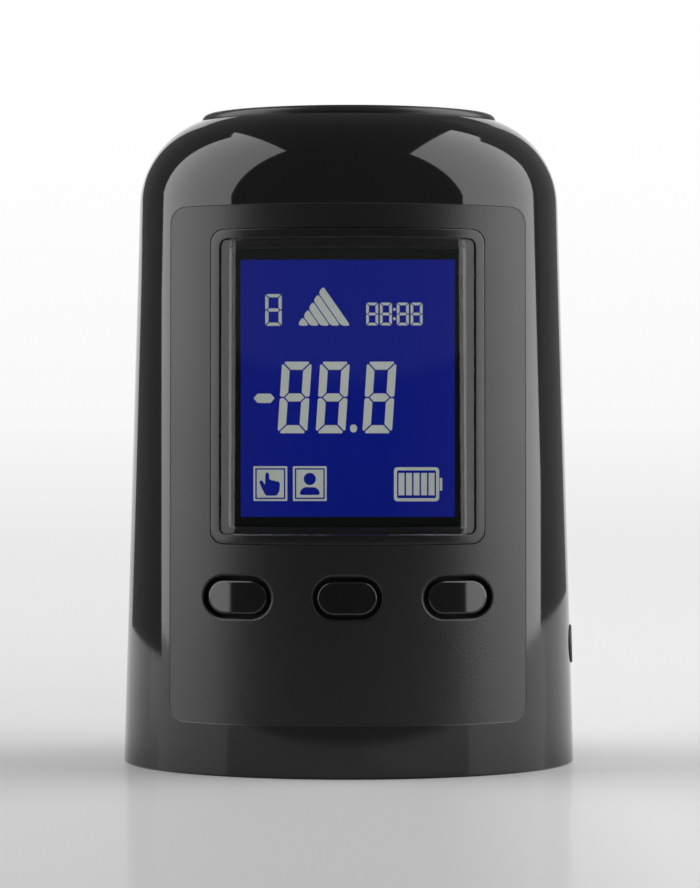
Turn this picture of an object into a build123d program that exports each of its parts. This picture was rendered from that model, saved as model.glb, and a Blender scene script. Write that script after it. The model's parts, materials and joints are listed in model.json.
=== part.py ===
from build123d import *
import math
import os

# Main unit of a battery vacuum extractor: a tapered round body that holds a diaphragm pump, a battery,
# a release valve and a display. The origin is the centre of the foot, +Z is up and the front faces -Y.
# All sizes are in millimetres and degrees. A "low" or "high" value is a height above the foot, a "drop" is
# measured down from the top of the body and a "setback" inwards from its radius at the foot.

# Body
BASE_RADIUS = 36.0
DRAFT = 1.64
BODY_TOP = 103.0
SHOULDER_RADIUS = 14.5
WALL = 2.0
ROOF = 2.0
PANEL_HALF_WIDTH = 27.6
PANEL_LOW = 8.0
PANEL_DROP = 15.5
PANEL_CORNER = 2.4
PANEL_DEPTH = 0.12
SKETCH_FRONT = 18.0
OVERCUT = 1.0

# Clearances
FIT = 0.1
FLOAT = 0.4
RUN = 0.05

# Top cap
CAP_RADIUS = 23.5
CAP_THICK = 2.0
CAP_RISE = 0.3
CAP_CROWN = 0.5
CAP_EDGE = 0.5
CAP_PEG_RADIUS = 1.5
CAP_PEG_LENGTH = 3.0
CAP_PEG_RING_RADIUS = 16.0
CAP_PEGS = 3

# Display window and its frame
BEZEL_HALF_WIDTH = 21.1
BEZEL_LOW = 35.5
BEZEL_DROP = 19.2
BEZEL_CORNER = 2.0
BEZEL_BAND = 1.5
BEZEL_FLANGE = 1.0
BEZEL_LEDGE = 1.2
WINDOW_THICK = 1.6
WINDOW_RECESS = 0.25
WINDOW_EDGE = 0.2
SEAT_CORNER = 1.0
LEDGE_SIDE = 1.95
LEDGE_LOW = 1.1
LEDGE_HIGH = 1.5
SIGHT_CORNER = 0.6

# Display module
GLASS_LAP_SIDE = 0.95
GLASS_LAP_LOW = 1.0
GLASS_LAP_HIGH = 1.1
GLASS_THICK = 2.0
BACKLIGHT_THICK = 2.9
HOLDER_WALL = 0.9
HOLDER_SETBACK = 1.0
ZEBRA_HEIGHT = 1.8
ZEBRA_SIDE_GAP = 1.6

# Buttons and their switches
BUTTON_PITCH = 16.85
BUTTON_Z = 27.4
BUTTON_WIDTH = 9.2
BUTTON_HEIGHT = 5.2
BUTTON_GAP = 0.6
BUTTON_EDGE = 0.4
MOUTH_EDGE = 0.45
BUTTON_FLANGE = 1.0
BUTTON_FLANGE_THICK = 0.9
BUTTON_STEM_RADIUS = 1.8
SWITCH_SIDE = 6.0
SWITCH_DEPTH = 3.5
PLUNGER_RADIUS = 1.75
PLUNGER_REACH = 1.5
PLUNGER_SEAT = 1.0
SWITCH_WELL = 2.0

# Circuit board and what it carries
BOARD_HALF_WIDTH = 21.5
BOARD_LOW = 9.0
BOARD_CORNER = 1.0
BOARD_THICK = 1.6
BOARD_STANDOFF = 2.8
BOARD_SCREW_X = 18.0
BOARD_SCREW_LOW = 33.3
BOARD_SCREW_EDGE = 1.8
BOARD_SCREW_RADIUS = 0.9
BOARD_SCREW_HEAD = 1.5
BOARD_SCREW_HEAD_THICK = 1.2
STANDOFF_RADIUS = 2.2
CHIP_SIDE = 9.0
CHIP_THICK = 1.2
CHIP_Z = 62.0
BUZZER_RADIUS = 4.5
BUZZER_DEPTH = 4.5
BUZZER_HOLE = 1.0
BUZZER_X = -9.0
BUZZER_Z = 15.5
CONNECTOR_WIDTH = 3.8
CONNECTOR_DEPTH = 4.0
CONNECTOR_LOW = 9.2
CONNECTOR_HIGH = 12.8
SENSOR_SIDE = 7.0
SENSOR_DEPTH = 2.4

# Charging port
PORT_Z = 18.75
PORT_WIDTH = 9.4
PORT_HEIGHT = 6.1
PORT_POCKET = 1.06
PORT_PROUD = 0.3
PLUG_GAP = 0.1
TONGUE_WIDTH = 6.6
TONGUE_HEIGHT = 1.6
TONGUE_LENGTH = 3.6
PORT_HOLE_MARGIN = 0.9
JACK_WIDTH = 7.6
JACK_HEIGHT = 2.7
JACK_SKIN = 0.3
JACK_DEPTH = 4.8
JACK_LENGTH = 5.8
CHARGE_BOARD_SETBACK = 4.5
CHARGE_BOARD_LENGTH = 13.5
CHARGE_BOARD_HALF_WIDTH = 7.0
CHARGE_BOARD_THICK = 1.4
CHARGE_POST_EDGE = 3.5
CHARGE_POST_Y = 4.5
CHARGE_POST_RADIUS = 2.0
CHARGE_PIN_RADIUS = 0.9

# Foot: base plate, screws, socket for the suction tip
PLATE_LOW = 1.2
PLATE_THICK = 2.0
BOSS_SETBACK = 7.5
BOSS_ANGLES = (-30.0, 70.0, 210.0)
BOSS_RADIUS = 3.2
BOSS_LENGTH = 15.0
BOSS_RIB = 2.0
SCREW_RADIUS = 1.25
SCREW_HEAD_RADIUS = 2.3
SCREW_HEAD_THICK = 1.3
SCREW_SOCKET_SIDES = 6
SCREW_ENGAGE = 8.0
VENT_RADIUS = 0.8
VENT_RING_RADIUS = 20.0
VENT_COUNT = 9
VENT_STEP = 9.0
VENT_MIDDLE_ANGLE = 90.0
SOCKET_RADIUS = 7.5
SOCKET_WALL = 2.0
SOCKET_LOW = 0.6
SOCKET_DEPTH = 10.4
SOCKET_FLANGE_RADIUS = 12.0
SOCKET_FLANGE_THICK = 1.5
SOCKET_EDGE = 0.4
SEAL_THICK = 1.0
SEAL_STEP = 0.5
SEAL_INNER_RADIUS = 5.0
SOCKET_ROOF = 5.0
FILTER_RADIUS = 3.0
FILTER_THICK = 1.0

# Inner chassis
SHELF_LOW = 19.0
SHELF_THICK = 2.0
UPPER_SHELF_DROP = 16.0
UPPER_SHELF_THICK = 1.8
UPPER_SHELF_EDGE = 0.65
SPINE_HALF_WIDTH = 20.5
SPINE_THICK = 1.6
CRADLE_WALL = 1.0
CRADLE_HEIGHT = 2.0
SENSOR_HOLE = 3.2
WIRE_SLOT_SIDE = 2.2
WIRE_SLOT_GAP = 0.65
NOTCH_SIDE = 2.0

# Battery
BATTERY_X = 15.2
CORE_Y = 5.0
BATTERY_RADIUS = 9.2
BATTERY_HEADROOM = 0.3
BATTERY_EDGE = 0.8
TAB_WIDTH = 5.0
TAB_THICK = 0.3
TAB_REACH = 11.5
TAB_LAP = 1.0

# Pump
PUMP_X = -12.5
PUMP_RADIUS = 13.5
PUMP_EDGE = 0.6
COVER_HEIGHT = 6.5
COVER_WALL = 1.0
COVER_CAVITY_DEPTH = 3.0
VALVE_PLATE_THICK = 1.8
CHECK_RADIUS = 2.4
CHECK_GAP = 0.6
CHECK_HOLE = 0.8
CHECK_COUNT = 3
CHECK_FIRST_ANGLE = 90.0
CHECK_THICK = 0.6
DIAPHRAGM_THICK = 1.2
NUB_RADIUS = 1.4
NUB_HEIGHT = 1.6
SPIDER_THICK = 1.2
SPIDER_ARM = 3.2
SPIDER_HUB_RADIUS = 3.2
SPIDER_HUB_HEIGHT = 2.6
CASE_HEIGHT = 10.0
CASE_WALL = 1.5
WHEEL_RADIUS = 4.6
WHEEL_THICK = 2.8
WHEEL_GAP = 0.4
PIN_RADIUS = 0.5
PIN_LEAN = 14.0
PIN_SEAT = 0.8
PIN_LENGTH = 3.6
NOZZLE_RADIUS = 1.1
NOZZLE_BORE = 0.6
NOZZLE_LENGTH = 3.0
NOZZLE_ROOT = 3.0
NOZZLE_OFFSET = 7.5
PUMP_SCREW_RADIUS = 1.0
PUMP_SCREW_EDGE = 1.9
PUMP_SCREW_COUNT = 3
PUMP_SCREW_FIRST_ANGLE = -90.0
CASE_POST = 1.7

# Motor
MOTOR_RADIUS = 12.2
MOTOR_LENGTH = 30.8
MOTOR_SKIN = 0.8
MAGNET_THICK = 1.7
MAGNET_SPAN = 130.0
MAGNET_LENGTH = 20.0
AIR_GAP = 0.4
ARMATURE_LENGTH = 15.0
ARMATURE_SLOT = 1.6
ARMATURE_HUB = 4.0
COMMUTATOR_RADIUS = 3.0
COMMUTATOR_GAP = 0.3
SHAFT_RADIUS = 1.0
BUSHING_RADIUS = 3.0
BUSHING_LENGTH = 2.6
END_CAP_THICK = 2.0
END_CAP_LIP = 1.3
TERMINAL_HEIGHT = 2.2
TERMINAL_THICK = 1.0
TERMINAL_WIDTH = 2.0
TERMINAL_PITCH = 2.6
TERMINAL_BACK = 6.1

# Air path
HOSE_RADIUS = 2.0
HOSE_BORE = 1.1
HOSE_BEND = 3.0
AIR_SETBACK = 11.5
VALVE_HOSE_RUN = 13.0
MANIFOLD_HEIGHT = 14.0
MANIFOLD_LEFT = -3.5
MANIFOLD_RIGHT = 5.0
MANIFOLD_DEPTH = 7.0
PUMP_PORT_RISE = 6.0
SENSOR_PORT_RISE = 10.0
SENSOR_PORT_X = 2.8
BARB_LENGTH = 5.0
HOSE_GAP = 0.3

# Release valve
VALVE_WIDTH = 12.0
VALVE_DEPTH = 10.0
VALVE_BODY_HEIGHT = 5.0
YOKE_HEIGHT = 15.0
YOKE_SKIN = 1.0
COIL_RADIUS = 4.2
COIL_BORE = 2.3
CORE_RADIUS = 2.0
CORE_LENGTH = 9.0
SPRING_RADIUS = 1.5
SPRING_WIRE = 0.25
SPRING_TURNS = 4

# Wires
WIRE_RADIUS = 0.5
WIRE_PITCH = 1.6
WIRE_GAP = 2.0
WIRE_Z = 11.0
WIRE_BEND = 1.5
BATTERY_WIRE_X = 14.4
CHARGE_WIRE_X = 19.4
VALVE_WIRE_X = -3.0
VALVE_WIRE_DROP = 1.5


def body_radius(z):
    """Outer radius of the tapered wall at height z."""
    return BASE_RADIUS - z * math.tan(math.radians(DRAFT))


def depth_at(radius, x):
    """Distance in front of the axis of a round surface, at the side offset x."""
    return math.sqrt(radius**2 - x**2)


def ring_of(centre, radius, count, first_angle):
    """Points evenly spaced on a circle about centre."""
    angles = [math.radians(first_angle + 360 / count * index) for index in range(count)]
    return [(centre[0] + radius * math.cos(a), centre[1] + radius * math.sin(a)) for a in angles]


# Places that follow from the sizes above
recess_floor = BODY_TOP + CAP_RISE - CAP_THICK
cavity_top = recess_floor - ROOF
cavity_fillet = SHOULDER_RADIUS - (BODY_TOP - cavity_top)
panel_high = BODY_TOP - PANEL_DROP
bezel_high = BODY_TOP - BEZEL_DROP
window_inset = WINDOW_RECESS + WINDOW_THICK
bezel_inset = window_inset + BEZEL_LEDGE
seat_half_width = BEZEL_HALF_WIDTH - BEZEL_BAND
seat_low = BEZEL_LOW + BEZEL_BAND
seat_high = bezel_high - BEZEL_BAND
sight_half_width = seat_half_width - LEDGE_SIDE
sight_low = seat_low + LEDGE_LOW
sight_high = seat_high - LEDGE_HIGH
glass_half_width = sight_half_width + GLASS_LAP_SIDE
glass_low = sight_low - GLASS_LAP_LOW
glass_high = sight_high + GLASS_LAP_HIGH
glass_front = -(depth_at(body_radius(glass_high) - bezel_inset, glass_half_width) - FLOAT)
glass_back = glass_front + GLASS_THICK
board_front = glass_back + BACKLIGHT_THICK
board_back = board_front + BOARD_THICK
spine_front = board_back + BOARD_STANDOFF
spine_back = spine_front + SPINE_THICK
wire_y = spine_back + WIRE_GAP
upper_shelf_low = BODY_TOP - UPPER_SHELF_DROP
board_high = upper_shelf_low
switch_front = board_front - SWITCH_DEPTH
plunger_front = switch_front - PLUNGER_REACH
button_places = {"left": -BUTTON_PITCH, "middle": 0.0, "right": BUTTON_PITCH}
plate_high = PLATE_LOW + PLATE_THICK
shelf_high = SHELF_LOW + SHELF_THICK
boss_ring = BASE_RADIUS - BOSS_SETBACK
boss_points = [
    (boss_ring * math.cos(math.radians(angle)), boss_ring * math.sin(math.radians(angle)))
    for angle in BOSS_ANGLES
]
seal_low = SOCKET_LOW + SOCKET_DEPTH
seal_radius = SOCKET_RADIUS - SEAL_STEP
socket_top = seal_low + SEAL_THICK
air_port_z = socket_top + SOCKET_ROOF / 2
charge_board_front = BASE_RADIUS - CHARGE_BOARD_SETBACK
charge_board_back = charge_board_front - CHARGE_BOARD_LENGTH
charge_board_high = PORT_Z - JACK_HEIGHT / 2
charge_board_low = charge_board_high - CHARGE_BOARD_THICK
jack_mouth = body_radius(PORT_Z) - WALL - FLOAT
battery_low = shelf_high + TAB_THICK + FIT
battery_high = upper_shelf_low - TAB_THICK - BATTERY_HEADROOM
pump_low = shelf_high
pump_screw_ring = PUMP_RADIUS - PUMP_SCREW_EDGE
cover_cavity = pump_screw_ring - PUMP_SCREW_RADIUS - FIT - COVER_WALL
check_ring = cover_cavity - CHECK_RADIUS - CHECK_GAP
cover_high = pump_low + COVER_HEIGHT
check_low = cover_high - CHECK_THICK
diaphragm_low = cover_high + VALVE_PLATE_THICK
case_low = diaphragm_low + DIAPHRAGM_THICK
case_high = case_low + CASE_HEIGHT
motor_high = case_high + MOTOR_LENGTH
spider_low = case_low + NUB_HEIGHT
hub_high = spider_low + SPIDER_HUB_HEIGHT
wheel_low = hub_high + WHEEL_GAP
nozzle_z = pump_low + COVER_HEIGHT - COVER_CAVITY_DEPTH / 2 - CHECK_THICK
magnet_radius = MOTOR_RADIUS - MOTOR_SKIN
armature_radius = magnet_radius - MAGNET_THICK - AIR_GAP
magnet_low = case_high + (MOTOR_LENGTH - MAGNET_LENGTH) / 2
armature_low = magnet_low + (MAGNET_LENGTH - ARMATURE_LENGTH) / 2
armature_high = armature_low + ARMATURE_LENGTH
commutator_high = motor_high - BUSHING_LENGTH - COMMUTATOR_GAP
air_y = BASE_RADIUS - AIR_SETBACK
valve_high = upper_shelf_low
yoke_low = valve_high - YOKE_HEIGHT
valve_low = yoke_low - VALVE_BODY_HEIGHT
core_low = yoke_low + RUN
manifold_high = valve_low - VALVE_HOSE_RUN
manifold_low = manifold_high - MANIFOLD_HEIGHT
pump_port_z = manifold_low + PUMP_PORT_RISE
sensor_port_z = manifold_low + SENSOR_PORT_RISE
front_plane = Plane.XZ.offset(SKETCH_FRONT)
front_reach = BASE_RADIUS - SKETCH_FRONT + OVERCUT


def tapered_core(inset):
    """Solid inside the body's wall line, its side lying inset behind the outer surface."""
    with BuildPart() as core:
        with BuildSketch(Plane.XZ):
            with BuildLine():
                Polyline(
                    (0, -OVERCUT),
                    (body_radius(-OVERCUT) - inset, -OVERCUT),
                    (body_radius(BODY_TOP) - inset, BODY_TOP),
                    (0, BODY_TOP),
                    close=True,
                )
            make_face()
        revolve(axis=Axis.Z)
    return core.part


def rounded_outline(half_width, low, high, corner):
    """Rounded rectangle seen from the front."""
    with BuildSketch(front_plane) as outline:
        with Locations((0, (low + high) / 2)):
            RectangleRounded(2 * half_width, high - low, corner)
    return outline.sketch


def slot_outline(x, width, height):
    """Stadium seen from the front, at the buttons' height."""
    with BuildSketch(front_plane) as outline:
        with Locations((x, BUTTON_Z)):
            SlotOverall(width, height)
    return outline.sketch


def curved_plate(outline, front, back):
    """Plate of an outline that follows the body, between two insets behind its outer surface."""
    front_core = tapered_core(front)
    back_core = tapered_core(back)
    with BuildPart() as plate:
        extrude(outline, amount=front_reach)
        add(front_core, mode=Mode.INTERSECT)
        add(back_core, mode=Mode.SUBTRACT)
    return plate.part


def tube(centre, low, high, outer, inner=0.0):
    """Upright tube about centre, or a rod where inner is 0."""
    with BuildPart() as piece:
        with BuildSketch(Plane.XY.offset(low)):
            with Locations(centre):
                Circle(outer)
                if inner:
                    Circle(inner, mode=Mode.SUBTRACT)
        extrude(amount=high - low)
    return piece.part


def block(low, high):
    """Box between two opposite corners."""
    with BuildPart() as piece:
        with BuildSketch(Plane.XY.offset(low[2])):
            with Locations(((low[0] + high[0]) / 2, (low[1] + high[1]) / 2)):
                Rectangle(high[0] - low[0], high[1] - low[1])
        extrude(amount=high[2] - low[2])
    return piece.part


def level_tube(plane, centre, length, outer, inner=0.0):
    """Tube that grows from a plane along its normal, about a point given in that plane."""
    with BuildPart() as piece:
        with BuildSketch(plane):
            with Locations(centre):
                Circle(outer)
                if inner:
                    Circle(inner, mode=Mode.SUBTRACT)
        extrude(amount=length)
    return piece.part


def routed(points, bend, outer, inner=0.0):
    """Hose or wire along straight runs joined by arcs of one radius."""
    with BuildLine() as route:
        FilletPolyline(*points, radius=bend)
    with BuildPart() as piece:
        with BuildSketch(Plane(route.line @ 0, z_dir=route.line % 0)):
            Circle(outer)
            if inner:
                Circle(inner, mode=Mode.SUBTRACT)
        sweep(path=route.line)
    return piece.part


def write(piece, name):
    """Label a finished piece and write its file."""
    piece.label = name
    export_step(piece, f"parts/{name}.step")


os.makedirs("parts", exist_ok=True)

# --- Body --------------------------------------------------------------------

panel_cut = curved_plate(
    rounded_outline(PANEL_HALF_WIDTH, PANEL_LOW, panel_high, PANEL_CORNER), -OVERCUT, PANEL_DEPTH
)
bezel_outline = rounded_outline(BEZEL_HALF_WIDTH, BEZEL_LOW, bezel_high, BEZEL_CORNER)
mouth_width = BUTTON_WIDTH + 2 * BUTTON_GAP
mouth_height = BUTTON_HEIGHT + 2 * BUTTON_GAP

with BuildPart() as housing_shell:
    with BuildSketch(Plane.XZ) as outside:
        with BuildLine():
            Polyline(
                (0, 0), (BASE_RADIUS, 0), (body_radius(BODY_TOP), BODY_TOP), (0, BODY_TOP), close=True
            )
        make_face()
        fillet(outside.vertices().group_by(Axis.Y)[-1].sort_by(Axis.X)[-1], SHOULDER_RADIUS)
    revolve(axis=Axis.Z)
    with BuildSketch(Plane.XZ) as inside:
        with BuildLine():
            Polyline(
                (0, 0),
                (BASE_RADIUS - WALL, 0),
                (body_radius(cavity_top) - WALL, cavity_top),
                (0, cavity_top),
                close=True,
            )
        make_face()
        fillet(inside.vertices().group_by(Axis.Y)[-1].sort_by(Axis.X)[-1], cavity_fillet)
    revolve(axis=Axis.Z, mode=Mode.SUBTRACT)
    # screw bosses, each joined to the wall by a rib
    with BuildSketch(Plane.XY.offset(shelf_high)):
        for angle, point in zip(BOSS_ANGLES, boss_points):
            reach = body_radius(shelf_high + BOSS_LENGTH) - WALL / 2 - boss_ring
            with Locations(point):
                Circle(BOSS_RADIUS)
            with Locations(Location((*point, 0), (0, 0, angle))):
                Rectangle(reach, BOSS_RIB, align=(Align.MIN, Align.CENTER))
    extrude(amount=BOSS_LENGTH)
    with BuildSketch(Plane.XY.offset(shelf_high)):
        with Locations(*boss_points):
            Circle(SCREW_RADIUS)
    extrude(amount=SCREW_ENGAGE, mode=Mode.SUBTRACT)
    # seat and peg holes of the top cap
    with BuildSketch(Plane.XY.offset(recess_floor)):
        Circle(CAP_RADIUS + FIT)
    extrude(amount=CAP_THICK, mode=Mode.SUBTRACT)
    with BuildSketch(Plane.XY.offset(recess_floor)):
        with PolarLocations(CAP_PEG_RING_RADIUS, CAP_PEGS):
            Circle(CAP_PEG_RADIUS + FIT)
    extrude(amount=-ROOF, mode=Mode.SUBTRACT)
    # textured area and the openings in the front
    add(panel_cut, mode=Mode.SUBTRACT)
    extrude(bezel_outline, amount=front_reach, mode=Mode.SUBTRACT)
    for place in button_places.values():
        extrude(slot_outline(place, mouth_width, mouth_height), amount=front_reach, mode=Mode.SUBTRACT)
    mouth_radius = body_radius(BUTTON_Z) - WALL / 2
    button_band = (BUTTON_Z - mouth_height, BUTTON_Z + mouth_height)
    mouths = [
        edge
        for edge in housing_shell.edges().filter_by_position(Axis.Z, *button_band)
        if edge.geom_type != GeomType.CIRCLE
        and math.hypot(edge.center().X, edge.center().Y) > mouth_radius
        and edge.center().Y < -SKETCH_FRONT
    ]
    fillet(mouths, MOUTH_EDGE)
    # charging port: pocket for the plug and a way through to the jack
    with BuildSketch(Plane.YZ.offset(body_radius(PORT_Z) - PORT_POCKET)):
        with Locations((0, PORT_Z)):
            SlotOverall(PORT_WIDTH + 2 * PLUG_GAP, PORT_HEIGHT + 2 * PLUG_GAP)
    extrude(amount=2 * PORT_POCKET, mode=Mode.SUBTRACT)
    with BuildSketch(Plane.YZ.offset(charge_board_front)):
        with Locations((0, PORT_Z)):
            Rectangle(TONGUE_WIDTH + 2 * PORT_HOLE_MARGIN, TONGUE_HEIGHT + 2 * PORT_HOLE_MARGIN)
    extrude(amount=CHARGE_BOARD_SETBACK, mode=Mode.SUBTRACT)
write(housing_shell.part, "housing_shell")

with BuildPart() as top_cap:
    with BuildSketch(Plane.XZ):
        with BuildLine():
            cap_side = recess_floor + CAP_THICK
            Polyline(
                (0, recess_floor),
                (CAP_RADIUS, recess_floor),
                (CAP_RADIUS, cap_side - CAP_EDGE),
                (CAP_RADIUS - CAP_EDGE, cap_side),
                (0, cap_side + CAP_CROWN),
                close=True,
            )
        make_face()
    revolve(axis=Axis.Z)
    with BuildSketch(Plane.XY.offset(recess_floor)):
        with PolarLocations(CAP_PEG_RING_RADIUS, CAP_PEGS):
            Circle(CAP_PEG_RADIUS)
    extrude(amount=-CAP_PEG_LENGTH)
write(top_cap.part, "top_cap")

# --- Display window and frame -------------------------------------------------

bezel_body = curved_plate(
    rounded_outline(BEZEL_HALF_WIDTH - FIT, BEZEL_LOW + FIT, bezel_high - FIT, BEZEL_CORNER), 0, bezel_inset
)
bezel_flange = curved_plate(
    rounded_outline(
        BEZEL_HALF_WIDTH + BEZEL_FLANGE, BEZEL_LOW - BEZEL_FLANGE, bezel_high + BEZEL_FLANGE, BEZEL_CORNER
    ),
    WALL + RUN,
    bezel_inset,
)
window_seat = curved_plate(
    rounded_outline(seat_half_width, seat_low, seat_high, SEAT_CORNER), -OVERCUT, window_inset
)
with BuildPart() as display_bezel:
    add(bezel_body)
    add(bezel_flange)
    add(window_seat, mode=Mode.SUBTRACT)
    extrude(
        rounded_outline(sight_half_width, sight_low, sight_high, SIGHT_CORNER),
        amount=front_reach,
        mode=Mode.SUBTRACT,
    )
write(display_bezel.part, "display_bezel")

window_blank = curved_plate(
    rounded_outline(seat_half_width - FIT, seat_low + FIT, seat_high - FIT, SEAT_CORNER),
    WINDOW_RECESS,
    window_inset,
)
with BuildPart() as display_window:
    add(window_blank)
    chamfer(display_window.faces().sort_by(Axis.Y)[0].edges(), WINDOW_EDGE)
write(display_window.part, "display_window")

# --- Display module -----------------------------------------------------------

write(
    block((-glass_half_width, glass_front, glass_low), (glass_half_width, glass_back, glass_high)),
    "lcd_glass",
)
zebra_high = glass_low + ZEBRA_HEIGHT
zebra_half_width = glass_half_width - ZEBRA_SIDE_GAP
write(
    block((-zebra_half_width, glass_back, glass_low), (zebra_half_width, board_front, zebra_high)),
    "zebra_strip",
)
write(
    block(
        (-glass_half_width, glass_back, zebra_high + FIT), (glass_half_width, board_front, glass_high)
    ),
    "lcd_backlight",
)
with BuildPart() as lcd_holder:
    with BuildSketch(Plane.XZ.offset(-board_front)):
        with Locations((0, (glass_low + glass_high) / 2)):
            Rectangle(
                2 * (glass_half_width + FIT + HOLDER_WALL), glass_high - glass_low + 2 * (FIT + HOLDER_WALL)
            )
            Rectangle(
                2 * (glass_half_width + FIT), glass_high - glass_low + 2 * FIT, mode=Mode.SUBTRACT
            )
    extrude(amount=board_front - glass_front - HOLDER_SETBACK)
write(lcd_holder.part, "lcd_holder")

# --- Buttons ------------------------------------------------------------------

flange_inset = WALL + FIT


def button(x):
    """Push button at the side offset x: curved cap, flange behind the wall and stem to the switch."""
    cap = curved_plate(slot_outline(x, BUTTON_WIDTH, BUTTON_HEIGHT), 0, flange_inset + BUTTON_FLANGE_THICK)
    flange = curved_plate(
        slot_outline(x, mouth_width + 2 * BUTTON_FLANGE, mouth_height + 2 * BUTTON_FLANGE),
        flange_inset,
        flange_inset + BUTTON_FLANGE_THICK,
    )
    stem_front = depth_at(body_radius(BUTTON_Z) - flange_inset - BUTTON_FLANGE_THICK / 2, x)
    stem = level_tube(
        Plane.XZ.offset(-plunger_front), (x, BUTTON_Z), stem_front + plunger_front, BUTTON_STEM_RADIUS
    )
    with BuildPart() as piece:
        add(cap)
        fillet(piece.faces().sort_by(Axis.Y)[0].edges(), BUTTON_EDGE)
        add(flange)
        add(stem)
    return piece.part


plunger_plane = Plane.XZ.offset(-plunger_front)
for side, place in button_places.items():
    write(button(place), f"button_{side}")
    plunger = level_tube(plunger_plane, (place, BUTTON_Z), -(PLUNGER_REACH + PLUNGER_SEAT), PLUNGER_RADIUS)
    write(plunger, f"switch_plunger_{side}")

with BuildPart() as tact_switches:
    with BuildSketch(Plane.XZ.offset(-board_front)):
        with Locations(*[(place, BUTTON_Z) for place in button_places.values()]):
            RectangleRounded(SWITCH_SIDE, SWITCH_SIDE, BUTTON_EDGE)
    extrude(amount=SWITCH_DEPTH)
    with BuildSketch(Plane.XZ.offset(-switch_front)):
        with Locations(*[(place, BUTTON_Z) for place in button_places.values()]):
            Circle(PLUNGER_RADIUS + RUN)
    extrude(amount=-SWITCH_WELL, mode=Mode.SUBTRACT)
write(tact_switches.part, "tact_switches")

# --- Circuit board ------------------------------------------------------------

board_screws_at = [
    (side * BOARD_SCREW_X, height)
    for side in (-1, 1)
    for height in (BOARD_SCREW_LOW, board_high - BOARD_SCREW_EDGE)
]
with BuildPart() as main_board:
    with BuildSketch(Plane.XZ.offset(-board_back)):
        with Locations((0, (BOARD_LOW + board_high) / 2)):
            RectangleRounded(2 * BOARD_HALF_WIDTH, board_high - BOARD_LOW, BOARD_CORNER)
        with Locations(*board_screws_at):
            Circle(BOARD_SCREW_RADIUS + FIT, mode=Mode.SUBTRACT)
    extrude(amount=BOARD_THICK)
write(main_board.part, "main_board")

with BuildPart() as board_screws:
    with BuildSketch(Plane.XZ.offset(-board_front)):
        with Locations(*board_screws_at):
            Circle(BOARD_SCREW_HEAD)
    extrude(amount=BOARD_SCREW_HEAD_THICK)
    with BuildSketch(Plane.XZ.offset(-board_front)):
        with Locations(*board_screws_at):
            Circle(BOARD_SCREW_RADIUS)
    extrude(amount=-(BOARD_THICK + BOARD_STANDOFF + SPINE_THICK / 2))
write(board_screws.part, "board_screws")

write(
    block(
        (-CHIP_SIDE / 2, board_back, CHIP_Z - CHIP_SIDE / 2),
        (CHIP_SIDE / 2, board_back + CHIP_THICK, CHIP_Z + CHIP_SIDE / 2),
    ),
    "controller_chip",
)
write(
    level_tube(Plane.XZ.offset(-board_front), (BUZZER_X, BUZZER_Z), BUZZER_DEPTH, BUZZER_RADIUS, BUZZER_HOLE),
    "buzzer",
)
sensor_face = board_back + SENSOR_DEPTH
sensor_body = block(
    (SENSOR_PORT_X - SENSOR_SIDE / 2, board_back, sensor_port_z - SENSOR_SIDE / 2),
    (SENSOR_PORT_X + SENSOR_SIDE / 2, sensor_face, sensor_port_z + SENSOR_SIDE / 2),
)
sensor_nozzle = level_tube(
    Plane.XZ.offset(-sensor_face), (SENSOR_PORT_X, sensor_port_z), -BARB_LENGTH, HOSE_BORE, NOZZLE_BORE
)
with BuildPart() as pressure_sensor:
    add(sensor_body)
    add(sensor_nozzle)
write(pressure_sensor.part, "pressure_sensor")

connector_x = (PUMP_X, VALVE_WIRE_X, BATTERY_WIRE_X, CHARGE_WIRE_X)
connector_back = board_back + CONNECTOR_DEPTH
with BuildPart() as lead_connectors:
    with BuildSketch(Plane.XY.offset(CONNECTOR_LOW)):
        with Locations(*[(x, (board_back + connector_back) / 2) for x in connector_x]):
            Rectangle(CONNECTOR_WIDTH, CONNECTOR_DEPTH)
    extrude(amount=CONNECTOR_HIGH - CONNECTOR_LOW)
write(lead_connectors.part, "lead_connectors")

# --- Charging port ------------------------------------------------------------

plug_core = tapered_core(-PORT_PROUD)
with BuildPart() as port_plug:
    with BuildSketch(Plane.YZ.offset(body_radius(PORT_Z) - PORT_POCKET)):
        with Locations((0, PORT_Z)):
            SlotOverall(PORT_WIDTH, PORT_HEIGHT)
    extrude(amount=2 * PORT_POCKET)
    add(plug_core, mode=Mode.INTERSECT)
    fillet(port_plug.faces().sort_by(Axis.X)[-1].edges(), PORT_PROUD)
    with BuildSketch(Plane.YZ.offset(body_radius(PORT_Z) - PORT_POCKET)):
        with Locations((0, PORT_Z)):
            RectangleRounded(TONGUE_WIDTH, TONGUE_HEIGHT, PORT_PROUD)
    extrude(amount=-TONGUE_LENGTH)
write(port_plug.part, "port_plug")

with BuildPart() as charging_jack:
    with BuildSketch(Plane.YZ.offset(jack_mouth)):
        with Locations((0, PORT_Z)):
            Rectangle(JACK_WIDTH, JACK_HEIGHT)
    extrude(amount=-JACK_LENGTH)
    with BuildSketch(Plane.YZ.offset(jack_mouth)):
        with Locations((0, PORT_Z)):
            Rectangle(JACK_WIDTH - 2 * JACK_SKIN, JACK_HEIGHT - 2 * JACK_SKIN)
    extrude(amount=-JACK_DEPTH, mode=Mode.SUBTRACT)
write(charging_jack.part, "charging_jack")

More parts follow.
